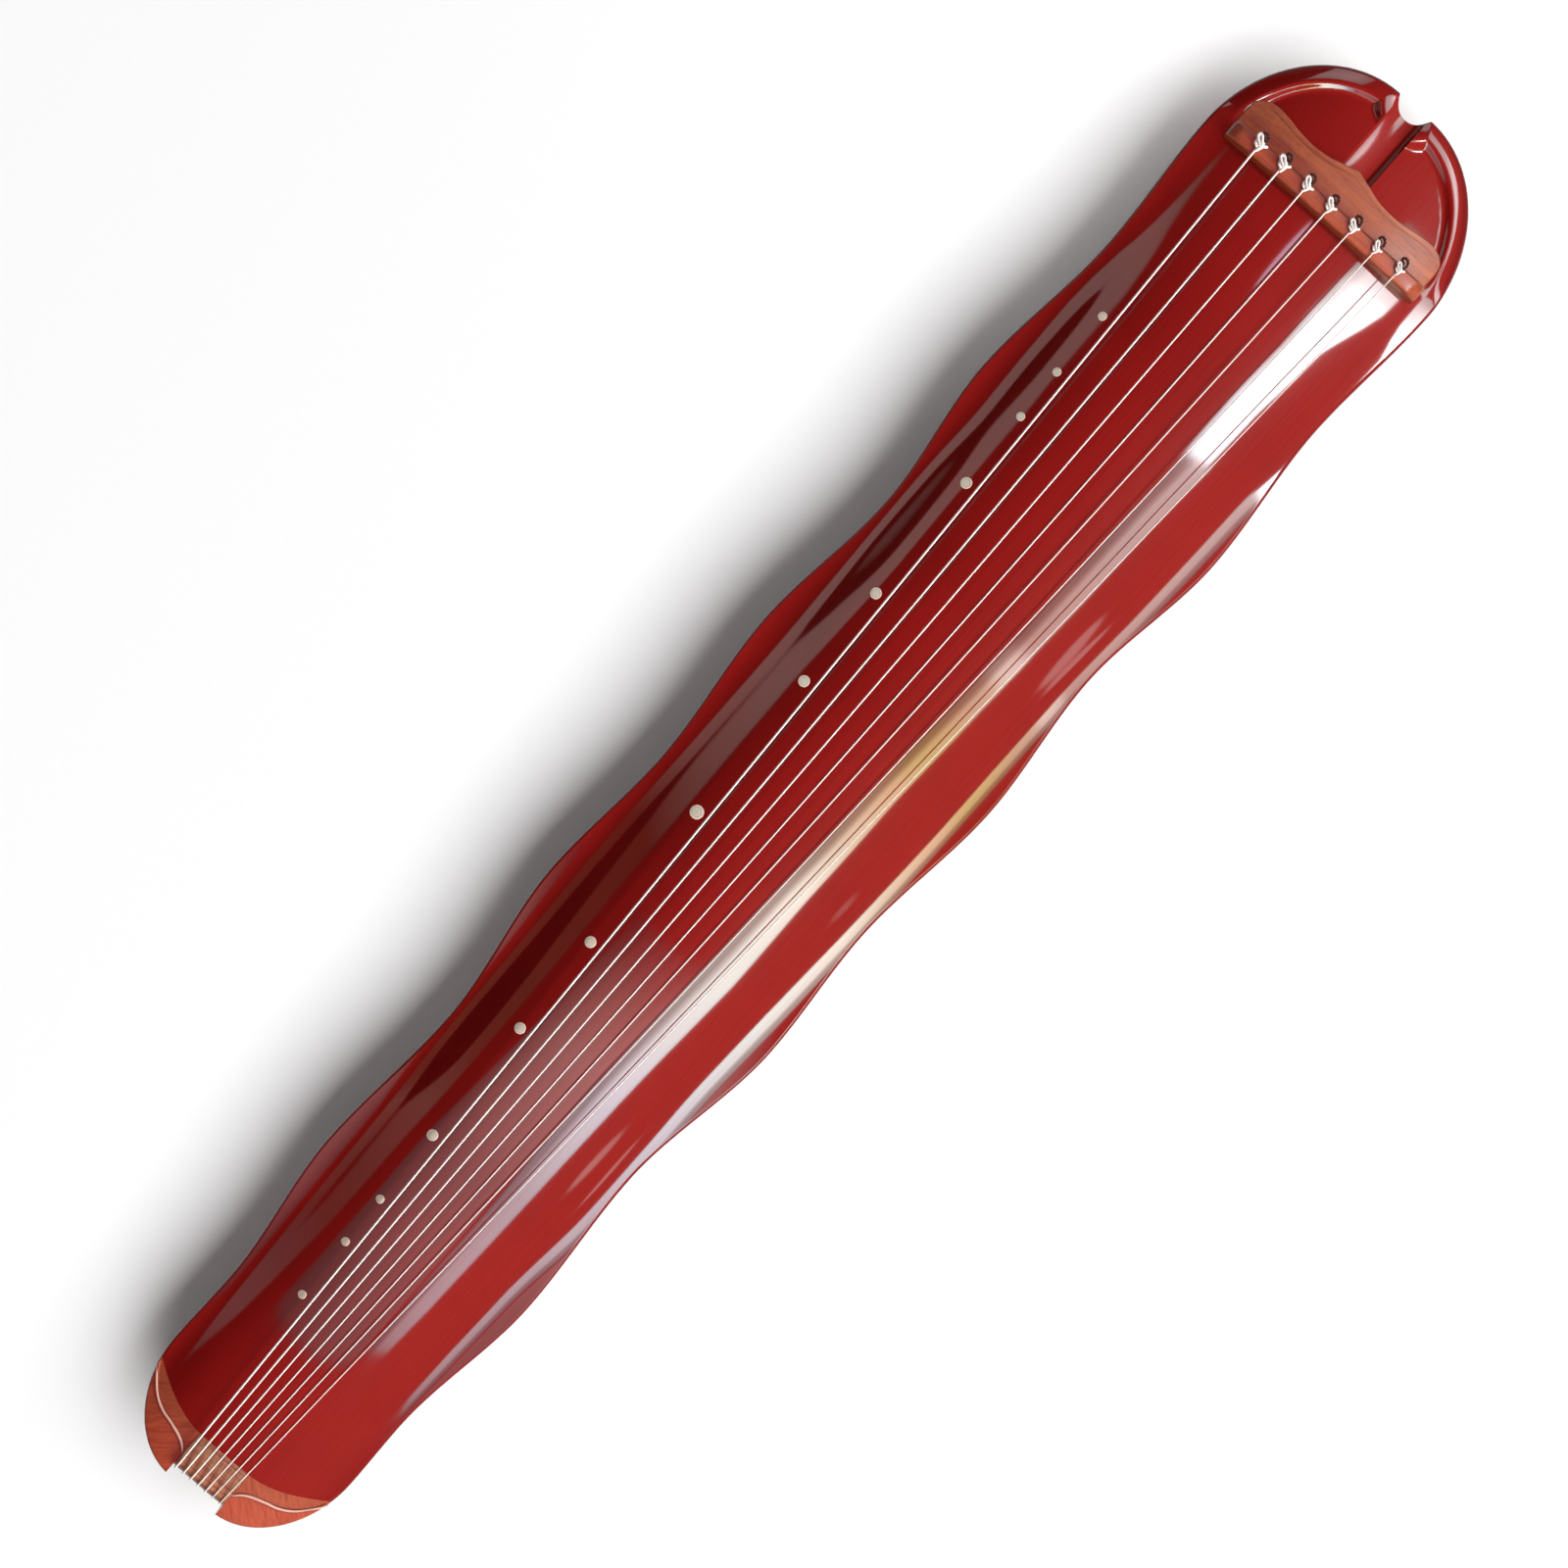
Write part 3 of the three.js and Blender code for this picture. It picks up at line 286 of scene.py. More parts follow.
def outline(corners, sides, heads, notches):
    """Half of the body's outline from the crown tip round the head into the notch, as x, y and the
    place on the axis that each station faces. The numbers are the steps in each stretch."""
    b = body()
    centre = b.corner_length - b.tail_reach
    tip = b.crown_gap - TIP_INSET
    turn = np.arange(corners) / corners * math.pi / 2
    run = notch_x(b.lobe_half / notches) - b.string_length
    along = np.arange(sides) / sides * (b.string_length - centre) + centre
    lobe = np.arange(heads + 1) / heads * math.pi / 2
    into = b.lobe_half * (1 - np.arange(1, notches) / notches)
    last = heads + notches - 1
    x = np.concatenate([
        centre - b.corner_length * np.cos(turn), along,
        b.string_length + b.head_reach * np.sin(lobe), notch_x(into),
    ])
    y = np.concatenate([
        tip + (b.tail_half - tip) * np.sin(turn), side_half(along),
        b.lobe_half + (b.head_half - b.lobe_half) * np.cos(lobe), into,
    ])
    axis = np.concatenate([
        -b.tail_reach + b.corner_length * np.arange(corners) / corners, along,
        b.string_length + run * np.arange(last + 1) / last,
    ])
    return x, y, axis


def edge_distance(x, y, notches=16):
    """Shortest way from places in plan to the outline. One notch step leaves the notch out."""
    ox, oy, _ = outline(corners=48, sides=400, heads=72, notches=notches)
    px, py = np.asarray(x, float), np.abs(np.asarray(y, float))
    least = np.full(px.shape, np.inf)
    for ax, ay, bx, by in zip(ox[:-1], oy[:-1], ox[1:], oy[1:]):
        rx, ry = bx - ax, by - ay
        t = np.clip(((px - ax) * rx + (py - ay) * ry) / (rx * rx + ry * ry), 0, 1)
        least = np.minimum(least, (ax + t * rx - px) ** 2 + (ay + t * ry - py) ** 2)
    return np.sqrt(least)


def arch(x, y):
    """Height of the plain arch: round in the middle, flatter again in the side waves."""
    b = body()
    place = np.asarray(x, float) / b.string_length
    far = np.asarray(y) > 0
    part = np.abs(y) / (through(BARREL_SHARES, place) * b.half_width)
    shoulder = np.where(far, FAR_SHOULDER, through(NEAR_SHOULDERS, place))
    flare = np.where(far, FAR_FLARE, NEAR_FLARE)
    inner = np.minimum(part, shoulder)
    outer = np.minimum(part - inner, shoulder / flare)
    fall = inner ** 2 + 2 * shoulder * outer - flare * outer ** 2
    crest = b.underside + through(CREST_SHARES, place) * b.body_depth
    pressed = through(PRESS_PLACES, place)
    coming = smoothstep(part, pressed - PRESS_RUN, pressed + PRESS_RUN)
    press = b.press * far * through(PRESS_SHARES, place) * coming
    return crest - through(RISE_SHARES, place) * b.arch_rise * fall - press


def smoothstep(value, low, high):
    t = np.clip((value - low) / (high - low), 0, 1)
    return t * t * (3 - 2 * t)


def top_height(x, y):
    """Height of the finished top: the arch with its rounded edge and the sunk field of the head."""
    b = body()
    distance = edge_distance(x, y)
    # the rounded edge stops at the notch, where the valley runs out through a crisp wall
    near = np.maximum(0, 1 - edge_distance(x, y, 1) / b.edge_round)
    rounding = b.edge_round * (1 - np.sqrt(1 - near ** 2))
    in_head = smoothstep(x, b.string_length + HEAD_START, b.string_length + HEAD_END)
    # the rim rolls over from its inner side to the edge, and eases down into the field
    roll = b.rim_roll * np.maximum(0, 1 - distance / b.rim_width) ** 2
    in_field = smoothstep(distance, b.rim_width - FIELD_START, b.rim_width + FIELD_END)
    return arch(x, y) - rounding - in_head * (roll + b.field_depth * in_field)


def bridge_top(y):
    b, f = body(), fittings()
    part = np.abs(y) / f.plate_half
    from_end = np.maximum(0, np.abs(y) - (f.plate_half - BRIDGE_END)) / BRIDGE_END
    return arch(b.string_length, 0) + f.bridge_height - f.bridge_bow * (part ** 2 + from_end ** 2)


def nut_top(y):
    return arch(0, y) + NUT_RISE


def nut_y(i):
    return fittings().nut_span * (0.5 - i / 6)


def bridge_y(i):
    return fittings().bridge_span * (0.5 - i / 6)


def hole_x():
    return body().string_length + fittings().hole_setback


def plate_floor():
    return body().underside + PLATE_FLOOR


def tail_floor():
    return body().underside + TAIL_FLOOR


def pool_ceiling():
    return body().underside + POOL_CEILING


def peg_top():
    return pool_ceiling() - PEG_DROP


def crown_border(y):
    """Where the crown corners and the nut meet the lacquer."""
    b = body()
    part = np.maximum(0, np.abs(y) - b.crown_gap) / (b.tail_half - b.crown_gap)
    return fittings().nut_front + BORDER_RUN * part ** BORDER_POWER


def middle_x():
    """Middle of the instrument, where the frame has its origin."""
    b = body()
    return (b.string_length + b.head_reach - b.tail_reach) / 2


def quarter_turn(steps):
    return [k / steps * math.pi / 2 for k in range(steps + 1)]


def whole_turn(steps):
    return np.arange(steps) / steps * 2 * math.pi


# Mesh making

def mesh_object(name, parts, material, angle=32):
    """Object of (points, faces) parts, shaded smooth up to an angle, with its normals kept for the
    cuts."""
    middle = middle_x()
    points, faces = [], []
    for part_points, part_faces in parts:
        start = len(points)
        points += [(p[0] - middle, p[1], p[2]) for p in np.asarray(part_points).tolist()]
        faces += [[start + i for i in face] for face in part_faces]
    mesh = bpy.data.meshes.new(name)
    mesh.from_pydata(points, [], faces)
    shell = bmesh.new()
    shell.from_mesh(mesh)
    bmesh.ops.recalc_face_normals(shell, faces=shell.faces)
    shell.to_mesh(mesh)
    shell.free()
    mesh.shade_smooth()
    mesh.set_sharp_from_angle(angle=math.radians(angle))
    normals = np.empty(len(mesh.loops) * 3, np.float32)
    mesh.corner_normals.foreach_get("vector", normals)
    kept = mesh.attributes.new("kept_normal", "FLOAT_VECTOR", "CORNER")
    kept.data.foreach_set("vector", normals)
    mesh.materials.append(material)
    piece = bpy.data.objects.new(name, mesh)
    bpy.context.scene.collection.objects.link(piece)
    return piece


def combine(piece, tool, operation="DIFFERENCE"):
    """Cuts the tool from the piece, joins them, or keeps what they share. The tool is used up."""
    cut = piece.modifiers.new("Cut", "BOOLEAN")
    cut.solver = "MANIFOLD"
    cut.operation = operation
    cut.object = tool
    cut.material_mode = "TRANSFER"
    graph = bpy.context.evaluated_depsgraph_get()
    result = bpy.data.meshes.new_from_object(piece.evaluated_get(graph), depsgraph=graph)
    if not len(result.polygons):
        raise RuntimeError(f"nothing is left of {piece.name} after {tool.name}")
    old = piece.data
    piece.modifiers.clear()
    piece.data = result
    result.name = piece.name
    spent = tool.data
    bpy.data.objects.remove(tool)
    bpy.data.meshes.remove(spent)
    bpy.data.meshes.remove(old)


def settle(piece, nodes, body_name="instrument"):
    """Sets the kept normals, and puts the piece in the place of its CAD nodes. A corner takes its
    face's own normal where a cut has left none, or one that lies nearly along the face."""
    mesh = piece.data
    kept = mesh.attributes.get("kept_normal")
    normals = np.empty(len(mesh.loops) * 3, np.float32)
    kept.data.foreach_get("vector", normals)
    normals = normals.reshape(-1, 3)
    flat = np.empty(len(mesh.polygons) * 3, np.float32)
    mesh.polygons.foreach_get("normal", flat)
    counts = np.empty(len(mesh.polygons), np.int32)
    mesh.polygons.foreach_get("loop_total", counts)
    flat = np.repeat(flat.reshape(-1, 3), counts, axis=0)
    size = np.linalg.norm(normals, axis=1)
    side = (normals * flat).sum(1)
    normals = np.where(side[:, None] < 0, -normals, normals)
    lost = (size < 0.5) | (np.abs(side) < 0.2)
    normals[lost] = flat[lost]
    mesh.attributes.remove(kept)
    mesh.shade_smooth()
    mesh.normals_split_custom_set(normals.tolist())
    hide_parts(*nodes)
    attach(piece, body_name)


def block_under(x, y, low, z):
    """Solid over rows of places: a shaped top, upright sides and a level floor."""
    rows, across = x.shape
    grid = np.arange(rows * across).reshape(rows, across)
    border = np.concatenate([grid[:-1, 0], grid[-1, :-1], grid[:0:-1, -1], grid[0, :0:-1]])
    top = np.stack([x, y, np.broadcast_to(z, x.shape)], -1).reshape(-1, 3)
    floor = top[border].copy()
    floor[:, 2] = low
    corners = [grid[:-1, :-1], grid[1:, :-1], grid[1:, 1:], grid[:-1, 1:]]
    quads = np.stack(corners, -1).reshape(-1, 4)
    under = rows * across + np.arange(len(border))
    walls = np.stack([under, np.roll(under, -1), np.roll(border, -1), border], -1)
    return np.vstack([top, floor]), quads.tolist() + walls.tolist() + [under[::-1].tolist()]


def loft(rings):
    """Closed solid through a row of rings that all turn the same way."""
    rings = np.asarray(rings, float)
    count, size = rings.shape[:2]
    grid = np.arange(count * size).reshape(count, size)
    after = np.roll(grid, -1, axis=1)
    quads = np.stack([grid[:-1], after[:-1], after[1:], grid[1:]], -1).reshape(-1, 4)
    return rings.reshape(-1, 3), quads.tolist() + [grid[0][::-1].tolist(), grid[-1].tolist()]


def prism(plan, low, high):
    plan = np.asarray(plan, float)
    return loft([np.column_stack([plan, np.full(len(plan), z)]) for z in (low, high)])


def rounded_plan(centre_x, centre_y, length_x, width_y, corner, steps=8):
    points = []
    for k in range(4):
        sign_x, sign_y = (1 if k in (0, 3) else -1), (1 if k < 2 else -1)
        for i in range(steps + 1):
            angle = (k + i / steps) * math.pi / 2
            points.append((
                centre_x + sign_x * (length_x / 2 - corner) + corner * math.cos(angle),
                centre_y + sign_y * (width_y / 2 - corner) + corner * math.sin(angle),
            ))
    return points


def rounded_profile(corners, steps=6):
    """Closed profile with each (x, z, radius) corner rounded."""
    points = []
    spots = [Vector(c[:2]) for c in corners]
    for i, (x, z, radius) in enumerate(corners):
        here, before, after = spots[i], spots[i - 1], spots[(i + 1) % len(spots)]
        one, two = (before - here).normalized(), (after - here).normalized()
        if radius == 0:
            points.append((x, z))
            continue
        half = one.angle(two) / 2
        centre = here + (one + two).normalized() * radius / math.sin(half)
        start = here + one * radius / math.tan(half) - centre
        turn = start.angle_signed(here + two * radius / math.tan(half) - centre)
        for k in range(steps + 1):
            spot = start.copy()
            spot.rotate(Matrix.Rotation(-turn * k / steps, 2))
            points.append(tuple(centre + spot))
    return points


def spline(points, count):
    """Smooth path through points, in a number of steps from each to the next."""
    pts = [Vector(p) for p in points]
    pts = [pts[0] * 2 - pts[1]] + pts + [pts[-1] * 2 - pts[-2]]
    path = []
    for i in range(1, len(pts) - 2):
        p0, p1, p2, p3 = pts[i - 1:i + 3]
        for k in range(count):
            t = k / count
            path.append(0.5 * (
                2 * p1 + (p2 - p0) * t + (2 * p0 - 5 * p1 + 4 * p2 - p3) * t ** 2
                + (3 * p1 - p0 - 3 * p2 + p3) * t ** 3
            ))
    path.append(pts[-2])
    return path


def carried_frames(points):
    """Directions and two cross directions along a path, without twist."""
    points = [Vector(p) for p in points]
    last = len(points) - 1
    ways = [
        (points[min(last, i + 1)] - points[max(0, i - 1)]).normalized() for i in range(last + 1)
    ]
    across = Vector((0, 0, 1)).cross(ways[0])
    if across.length < 1e-6:
        across = Vector((1, 0, 0))
    across.normalize()
    frames = []
    for i, way in enumerate(ways):
        if i:
            across.rotate(ways[i - 1].rotation_difference(way))
        across = (across - way * across.dot(way)).normalized()
        frames.append((points[i], way, across.copy(), way.cross(across)))
    return frames


def tube(points, radius, sides=12):
    """Unbroken tube along a path, with rounded ends."""
    frames = carried_frames(points)
    around = whole_turn(sides)
    rings = []

    def ring(centre, across, up, size):
        centre, across, up = (np.array(v) for v in (centre, across, up))
        return centre + size * (np.outer(np.cos(around), across) + np.outer(np.sin(around), up))

    # rings of a dome: how far out and how wide, as shares of the radius
    domes = [(1.0, 0.12), (0.8, 0.6), (0.5, 0.866)]
    point, way, across, up = frames[0]
    for out, size in domes:
        rings.append(ring(point - way * radius * out, across, up, radius * size))
    for point, way, across, up in frames:
        rings.append(ring(point, across, up, radius))
    for out, size in reversed(domes):
        rings.append(ring(point + way * radius * out, across, up, radius * size))
    return loft(rings)


def twisted(points, diameter, pitch, sides=8):
    """Two strands twisted round each other along a path, pressed a little into each other."""
    frames = carried_frames(points)
    strand_reach, strand_radius = 0.235, 0.265
    run = np.concatenate([[0], np.cumsum([
        (frames[i + 1][0] - frames[i][0]).length for i in range(len(frames) - 1)
    ])])
    parts = []
    for start in (0, math.pi):
        strand = []
        for (point, _, across, up), far in zip(frames, run):
            angle = start + far / pitch * 2 * math.pi
            out = across * math.cos(angle) + up * math.sin(angle)
            strand.append(point + out * diameter * strand_reach)
        parts.append(tube(strand, diameter * strand_radius, sides))
    return parts


def box(centre_x, centre_y, length_x, width_y, low, high):
    x, y = length_x / 2, width_y / 2
    corners = ((1, 1), (-1, 1), (-1, -1), (1, -1))
    return prism([(centre_x + sx * x, centre_y + sy * y) for sx, sy in corners], low, high)


def rod(x, y, radius, low, high, sides=32):
    around = whole_turn(sides)
    plan = np.column_stack([x + radius * np.cos(around), y + radius * np.sin(around)])
    return prism(plan, low, high)


def string_holes(low, high):
    return [rod(hole_x(), bridge_y(i), HOLE_RADIUS, low, high) for i in range(len(GAUGES))]


# Finishes

def set_inputs(tree, node, inputs):
    """Gives each input of a node its value, or the socket that feeds it."""
    for name, value in inputs.items():
        if isinstance(value, bpy.types.NodeSocket):
            tree.links.new(value, node.inputs[name])
        else:
            node.inputs[name].default_value = value


def add_node(tree, kind, inputs=None, stops=None, **settings):
    """Adds a node with its settings, its inputs and the stops of its ramp."""
    node = tree.nodes.new("ShaderNode" + kind)
    for name, value in settings.items():
        setattr(node, name, value)
    set_inputs(tree, node, inputs or {})
    if stops:
        ramp = node.color_ramp
        while len(ramp.elements) < len(stops):
            ramp.elements.new(1.0)
        for element, (place, shade) in zip(ramp.elements, stops):
            element.position = place
            element.color = shade
    return node


def new_material(name):
    material = bpy.data.materials.new(name)
    material.use_nodes = True
    tree = material.node_tree
    shader = next(node for node in tree.nodes if node.type == "BSDF_PRINCIPLED")
    return material, tree, shader


def scaled(colour_value, by):
    return tuple(min(1.0, c * by) for c in tuple(colour_value)[:3]) + (1.0,)


def polished_lacquer():
    """Raw lacquer with cinnabar over a ground of ash, brushed on, rubbed level and polished.
    It gives the eye a deep, slightly cloudy red under a clear mirror with long slow waves."""
    name = "Cinnabar lacquer, rubbed and polished"
    if name in bpy.data.materials:
        return bpy.data.materials[name]
    look = finishes()
    material, tree, shader = new_material(name)
    spot = add_node(tree, "TexCoord").outputs["Object"]
    # clouds in the coat about 70 mm across
    clouds = add_node(tree, "TexNoise", {"Vector": spot, "Scale": 1 / (70 * MM), "Detail": 3.0})
    tone = add_node(tree, "ValToRGB", {"Fac": clouds.outputs["Fac"]}, stops=[
        (0.35, tuple(look.lacquer_deep)), (0.7, tuple(look.lacquer)),
    ])
    # brush strokes along the board, 2 mm wide and 200 mm long
    along = add_node(tree, "Mapping", {
        "Vector": spot, "Scale": (1 / (200 * MM), 1 / (2 * MM), 1 / (2 * MM)),
    })
    strokes = add_node(tree, "TexNoise", {
        "Vector": along.outputs["Vector"], "Scale": 1.0, "Detail": 2.0,
    })
    # the rubbed surface swells and sinks over about 110 mm
    waves = add_node(tree, "TexNoise", {"Vector": spot, "Scale": 1 / (110 * MM), "Detail": 1.0})
    swell = add_node(tree, "Bump", {
        "Height": waves.outputs["Fac"], "Strength": 1.0, "Distance": 0.10 * MM,
    })
    fine = add_node(tree, "Bump", {
        "Height": strokes.outputs["Fac"], "Strength": 1.0, "Distance": 0.0004 * MM,
        "Normal": swell.outputs["Normal"],
    })
    rough = add_node(tree, "MapRange", {
        "Value": strokes.outputs["Fac"], "To Min": 0.22, "To Max": 0.34,
    })
    set_inputs(tree, shader, {
        "Base Color": tone.outputs["Color"], "Roughness": rough.outputs["Result"],
        "Specular IOR Level": 0.05, "Coat Weight": 1.0, "Coat Roughness": 0.045, "Coat IOR": 1.6,
        "Normal": fine.outputs["Normal"], "Coat Normal": fine.outputs["Normal"],
    })
    return material


def oiled_wood(name, light, dark, along, ring=5.0, gloss=0.5, pores=0.5, fibre=0.5, bead_side=0):
    """A fine hardwood, planed and wiped with oil. It gives the eye bands of growth, silky fibres
    and short dark pores, all running along the grain, under a soft polish. The ring and the fibre
    are widths in millimetres; a pore is 0.45 mm wide and 7 mm long."""
    if name in bpy.data.materials:
        return bpy.data.materials[name]
    material, tree, shader = new_material(name)
    spot = add_node(tree, "TexCoord").outputs["Object"]
    way = Vector(along).normalized()
    turn = way.rotation_difference(Vector((0, 1, 0))).to_euler()
    turned = add_node(tree, "Mapping", {"Vector": spot, "Rotation": turn}).outputs["Vector"]

    def stretched(width, run, detail, distortion=0.0):
        """Noise of a width and a run along the grain, in millimetres."""
        scaled_spot = add_node(tree, "Mapping", {
            "Vector": turned, "Scale": (1 / (width * MM), 1 / (run * MM), 1 / (width * MM)),
        })
        return add_node(tree, "TexNoise", {
            "Vector": scaled_spot.outputs["Vector"], "Scale": 1.0, "Detail": detail,
            "Distortion": distortion,
        }).outputs["Fac"]

    bands = stretched(ring, 28 * ring, 3.0, distortion=0.6)
    fibres = stretched(fibre, 40 * fibre, 2.0)
    pore = stretched(0.45, 7.0, 1.0)
    ramp = add_node(tree, "ValToRGB", {"Fac": bands}, stops=[
        (0.30, tuple(dark)), (0.46, tuple(a * 0.35 + b * 0.65 for a, b in zip(dark, light))),
        (0.62, tuple(light)), (0.8, scaled(light, 1.18)),
    ])
    shade = add_node(tree, "MapRange", {
        "Value": fibres, "From Min": 0.25, "From Max": 0.75, "To Min": 0.72, "To Max": 1.22,
    })
    toned = add_node(tree, "Mix", {0: 1.0, 6: ramp.outputs["Color"], 7: shade.outputs["Result"]},
                     data_type="RGBA", blend_type="MULTIPLY")
    holes = add_node(tree, "MapRange", {
        "Value": pore, "From Min": 0.60, "From Max": 0.70, "To Min": 0.0, "To Max": pores,
    })
    final = add_node(tree, "Mix", {
        0: holes.outputs["Result"], 6: toned.outputs[2], 7: scaled(dark, 0.35),
    }, data_type="RGBA")
    if bead_side:
        # painted light on the crown: a dark band of painted shade hugs each side of the bead and the
        # wood on towards the lacquer is a browner tone, and the bead itself is painted pale as a
        # painted highlight
        toned = add_node(tree, "Mix", {
            0: 1.0, 6: final.outputs[2], 7: bead_shade_and_highlight(tree, spot, bead_side),
        }, data_type="RGBA", blend_type="MULTIPLY")
        final = add_node(tree, "Mix", {
            0: bead_shade_and_highlight(tree, spot, bead_side, True), 6: toned.outputs[2], 7: linear("#F2C4B0"),
        }, data_type="RGBA")
    rough = add_node(tree, "MapRange", {"Value": fibres, "To Min": 0.34, "To Max": 0.5})
    sunk = add_node(tree, "Math", {0: fibres, 1: holes.outputs["Result"]}, operation="SUBTRACT")
    relief = add_node(tree, "Bump", {
        "Height": sunk.outputs["Value"], "Strength": 1.0, "Distance": 0.02 * MM,
    })
    set_inputs(tree, shader, {
        "Base Color": final.outputs[2], "Roughness": rough.outputs["Result"], "IOR": 1.5,
        "Coat Weight": gloss, "Coat Roughness": 0.16, "Normal": relief.outputs["Normal"],
    })
    return material


def bead_shade_and_highlight(tree, spot, side, on_bead=False):
    """Painted shade beside the bead of a crown corner, or how much a place lies on the bead, which
    takes a painted highlight.
    """
    b = body()
    tip = -b.tail_reach - middle_x()
    parts = add_node(tree, "SeparateXYZ", {"Vector": spot})
    along = add_node(tree, "MapRange", {
        "Value": parts.outputs["X"], "From Min": tip, "From Max": tip + b.corner_length,
    })
    across = add_node(tree, "MapRange", {
        "Value": parts.outputs["Y"], "From Min": side * b.crown_gap, "From Max": side * b.tail_half,
    })
    line = add_node(tree, "FloatCurve", {"Value": across.outputs["Result"]})
    curve = line.mapping.curves[0]
    for place, reach in BEAD_SHARES[1:-1]:
        curve.points.new(reach, place)
    curve.points[0].location = (0, BEAD_SHARES[0][0])
    curve.points[-1].location = (1, BEAD_SHARES[-1][0])
    line.mapping.update()
    past = add_node(tree, "Math", {0: along.outputs["Result"], 1: line.outputs["Value"]},
                    operation="SUBTRACT")
    # from 7.4 mm before the bead to 7.4 mm past it, so that a step of 0.01 below is 0.15 mm
    shifted = add_node(tree, "MapRange", {
        "Value": past.outputs["Value"], "From Min": -0.1, "From Max": 0.1,
    })
    if on_bead:
        # where the bead lies, which the caller paints pale as a painted highlight
        stops = [
            (0.42, (0, 0, 0, 1)), (0.45, (0.8, 0.8, 0.8, 1)),
            (0.55, (0.8, 0.8, 0.8, 1)), (0.58, (0, 0, 0, 1)),
        ]
    else:
        # painted shade: darker on both sides of the bead, then a browner tone on towards the lacquer
        stops = [
            (0.3, (1, 1, 1, 1)), (0.36, (0.55, 0.5, 0.5, 1)), (0.42, (0.4, 0.35, 0.35, 1)),
            (0.58, (0.4, 0.35, 0.35, 1)), (0.62, (0.8, 1.0, 1.0, 1)),
        ]
    tone = add_node(tree, "ValToRGB", {"Fac": shifted.outputs["Result"]}, stops=stops)
    return tone.outputs["Color"]


def rosewood(name, along):
    look = finishes()
    return oiled_wood(name, look.rosewood, look.rosewood_dark, along)


def mother_of_pearl():
    """Shell sawn into discs and polished: it gives the eye pale cloudy patches of rose and green
    that are a few millimetres wide."""
    look = finishes()
    material, tree, shader = new_material("Mother of pearl, sawn and polished")
    spot = add_node(tree, "TexCoord").outputs["Object"]
    patches = add_node(tree, "TexNoise", {
        "Vector": spot, "Scale": 1 / (3 * MM), "Detail": 2.0, "Distortion": 1.2,
    })
    ramp = add_node(tree, "ValToRGB", {"Fac": patches.outputs["Fac"]}, stops=[
        (0.3, linear("#EBD7B8")), (0.45, tuple(look.shell)),
        (0.58, linear("#FFF0E0")), (0.72, linear("#E8ECD8")),
    ])
    # a wave repeats every 0.314 of its unit, so the layers of growth are about 2 mm apart
    layers = add_node(tree, "TexWave", {
        "Vector": spot, "Scale": 1 / (6 * MM), "Distortion": 6.0, "Detail": 2.0,
    })
    # a grey ring of painted shade where a fine groove would lie, a pale one outside it and a brown
    # seam at the sawn edge
    box_spot = add_node(tree, "TexCoord").outputs["Generated"]
    face = add_node(tree, "Mapping", {
        "Vector": box_spot, "Location": (-0.5, -0.5, 0), "Scale": (1, 1, 0),
    })
    from_middle = add_node(tree, "VectorMath", {0: face.outputs["Vector"]}, operation="LENGTH")
    edge = add_node(tree, "ValToRGB", {"Fac": from_middle.outputs["Value"]}, stops=[
        (0.28, (0.8, 0.94, 0.94, 1)), (0.34, (0.62, 0.66, 0.66, 1)), (0.38, (1.0, 1.0, 1.0, 1)),
        (0.46, (1.0, 1.0, 1.0, 1)), (0.49, (0.4, 0.3, 0.25, 1)),
    ])
    toned = add_node(tree, "Mix", {0: 1.0, 6: ramp.outputs["Color"], 7: edge.outputs["Color"]},
                     data_type="RGBA", blend_type="MULTIPLY")
    relief = add_node(tree, "Bump", {"Height": layers.outputs["Fac"], "Distance": 0.01 * MM})
    set_inputs(tree, shader, {
        "Base Color": toned.outputs[2], "Roughness": 0.28, "IOR": 1.53, "Coat Weight": 0.5,
        "Coat Roughness": 0.08, "Normal": relief.outputs["Normal"],
    })
    return material


def wound_string():
    """Steel core wound with silk-white nylon: it gives the eye a pale thread with faint rings.
    The real winding is 0.2 mm wide and wouldn't show, so the rings are drawn 5 mm apart."""
    look = finishes()
    material, tree, shader = new_material("Nylon over steel, wound")
    spot = add_node(tree, "TexCoord").outputs["Object"]
    # a wave repeats every 0.314 of its unit
    rings = add_node(tree, "TexWave", {"Vector": spot, "Scale": 1 / (16 * MM), "Distortion": 0.6},
                     bands_direction="X")
    tone = add_node(tree, "ValToRGB", {"Fac": rings.outputs["Fac"]}, stops=[
        (0.0, scaled(look.string, 0.95)), (0.6, tuple(look.string)),
    ])
    relief = add_node(tree, "Bump", {"Height": rings.outputs["Fac"], "Distance": 0.008 * MM})
    set_inputs(tree, shader, {
        "Base Color": tone.outputs["Color"], "Roughness": 0.38, "IOR": 1.53,
        "Normal": relief.outputs["Normal"],
    })
    return material


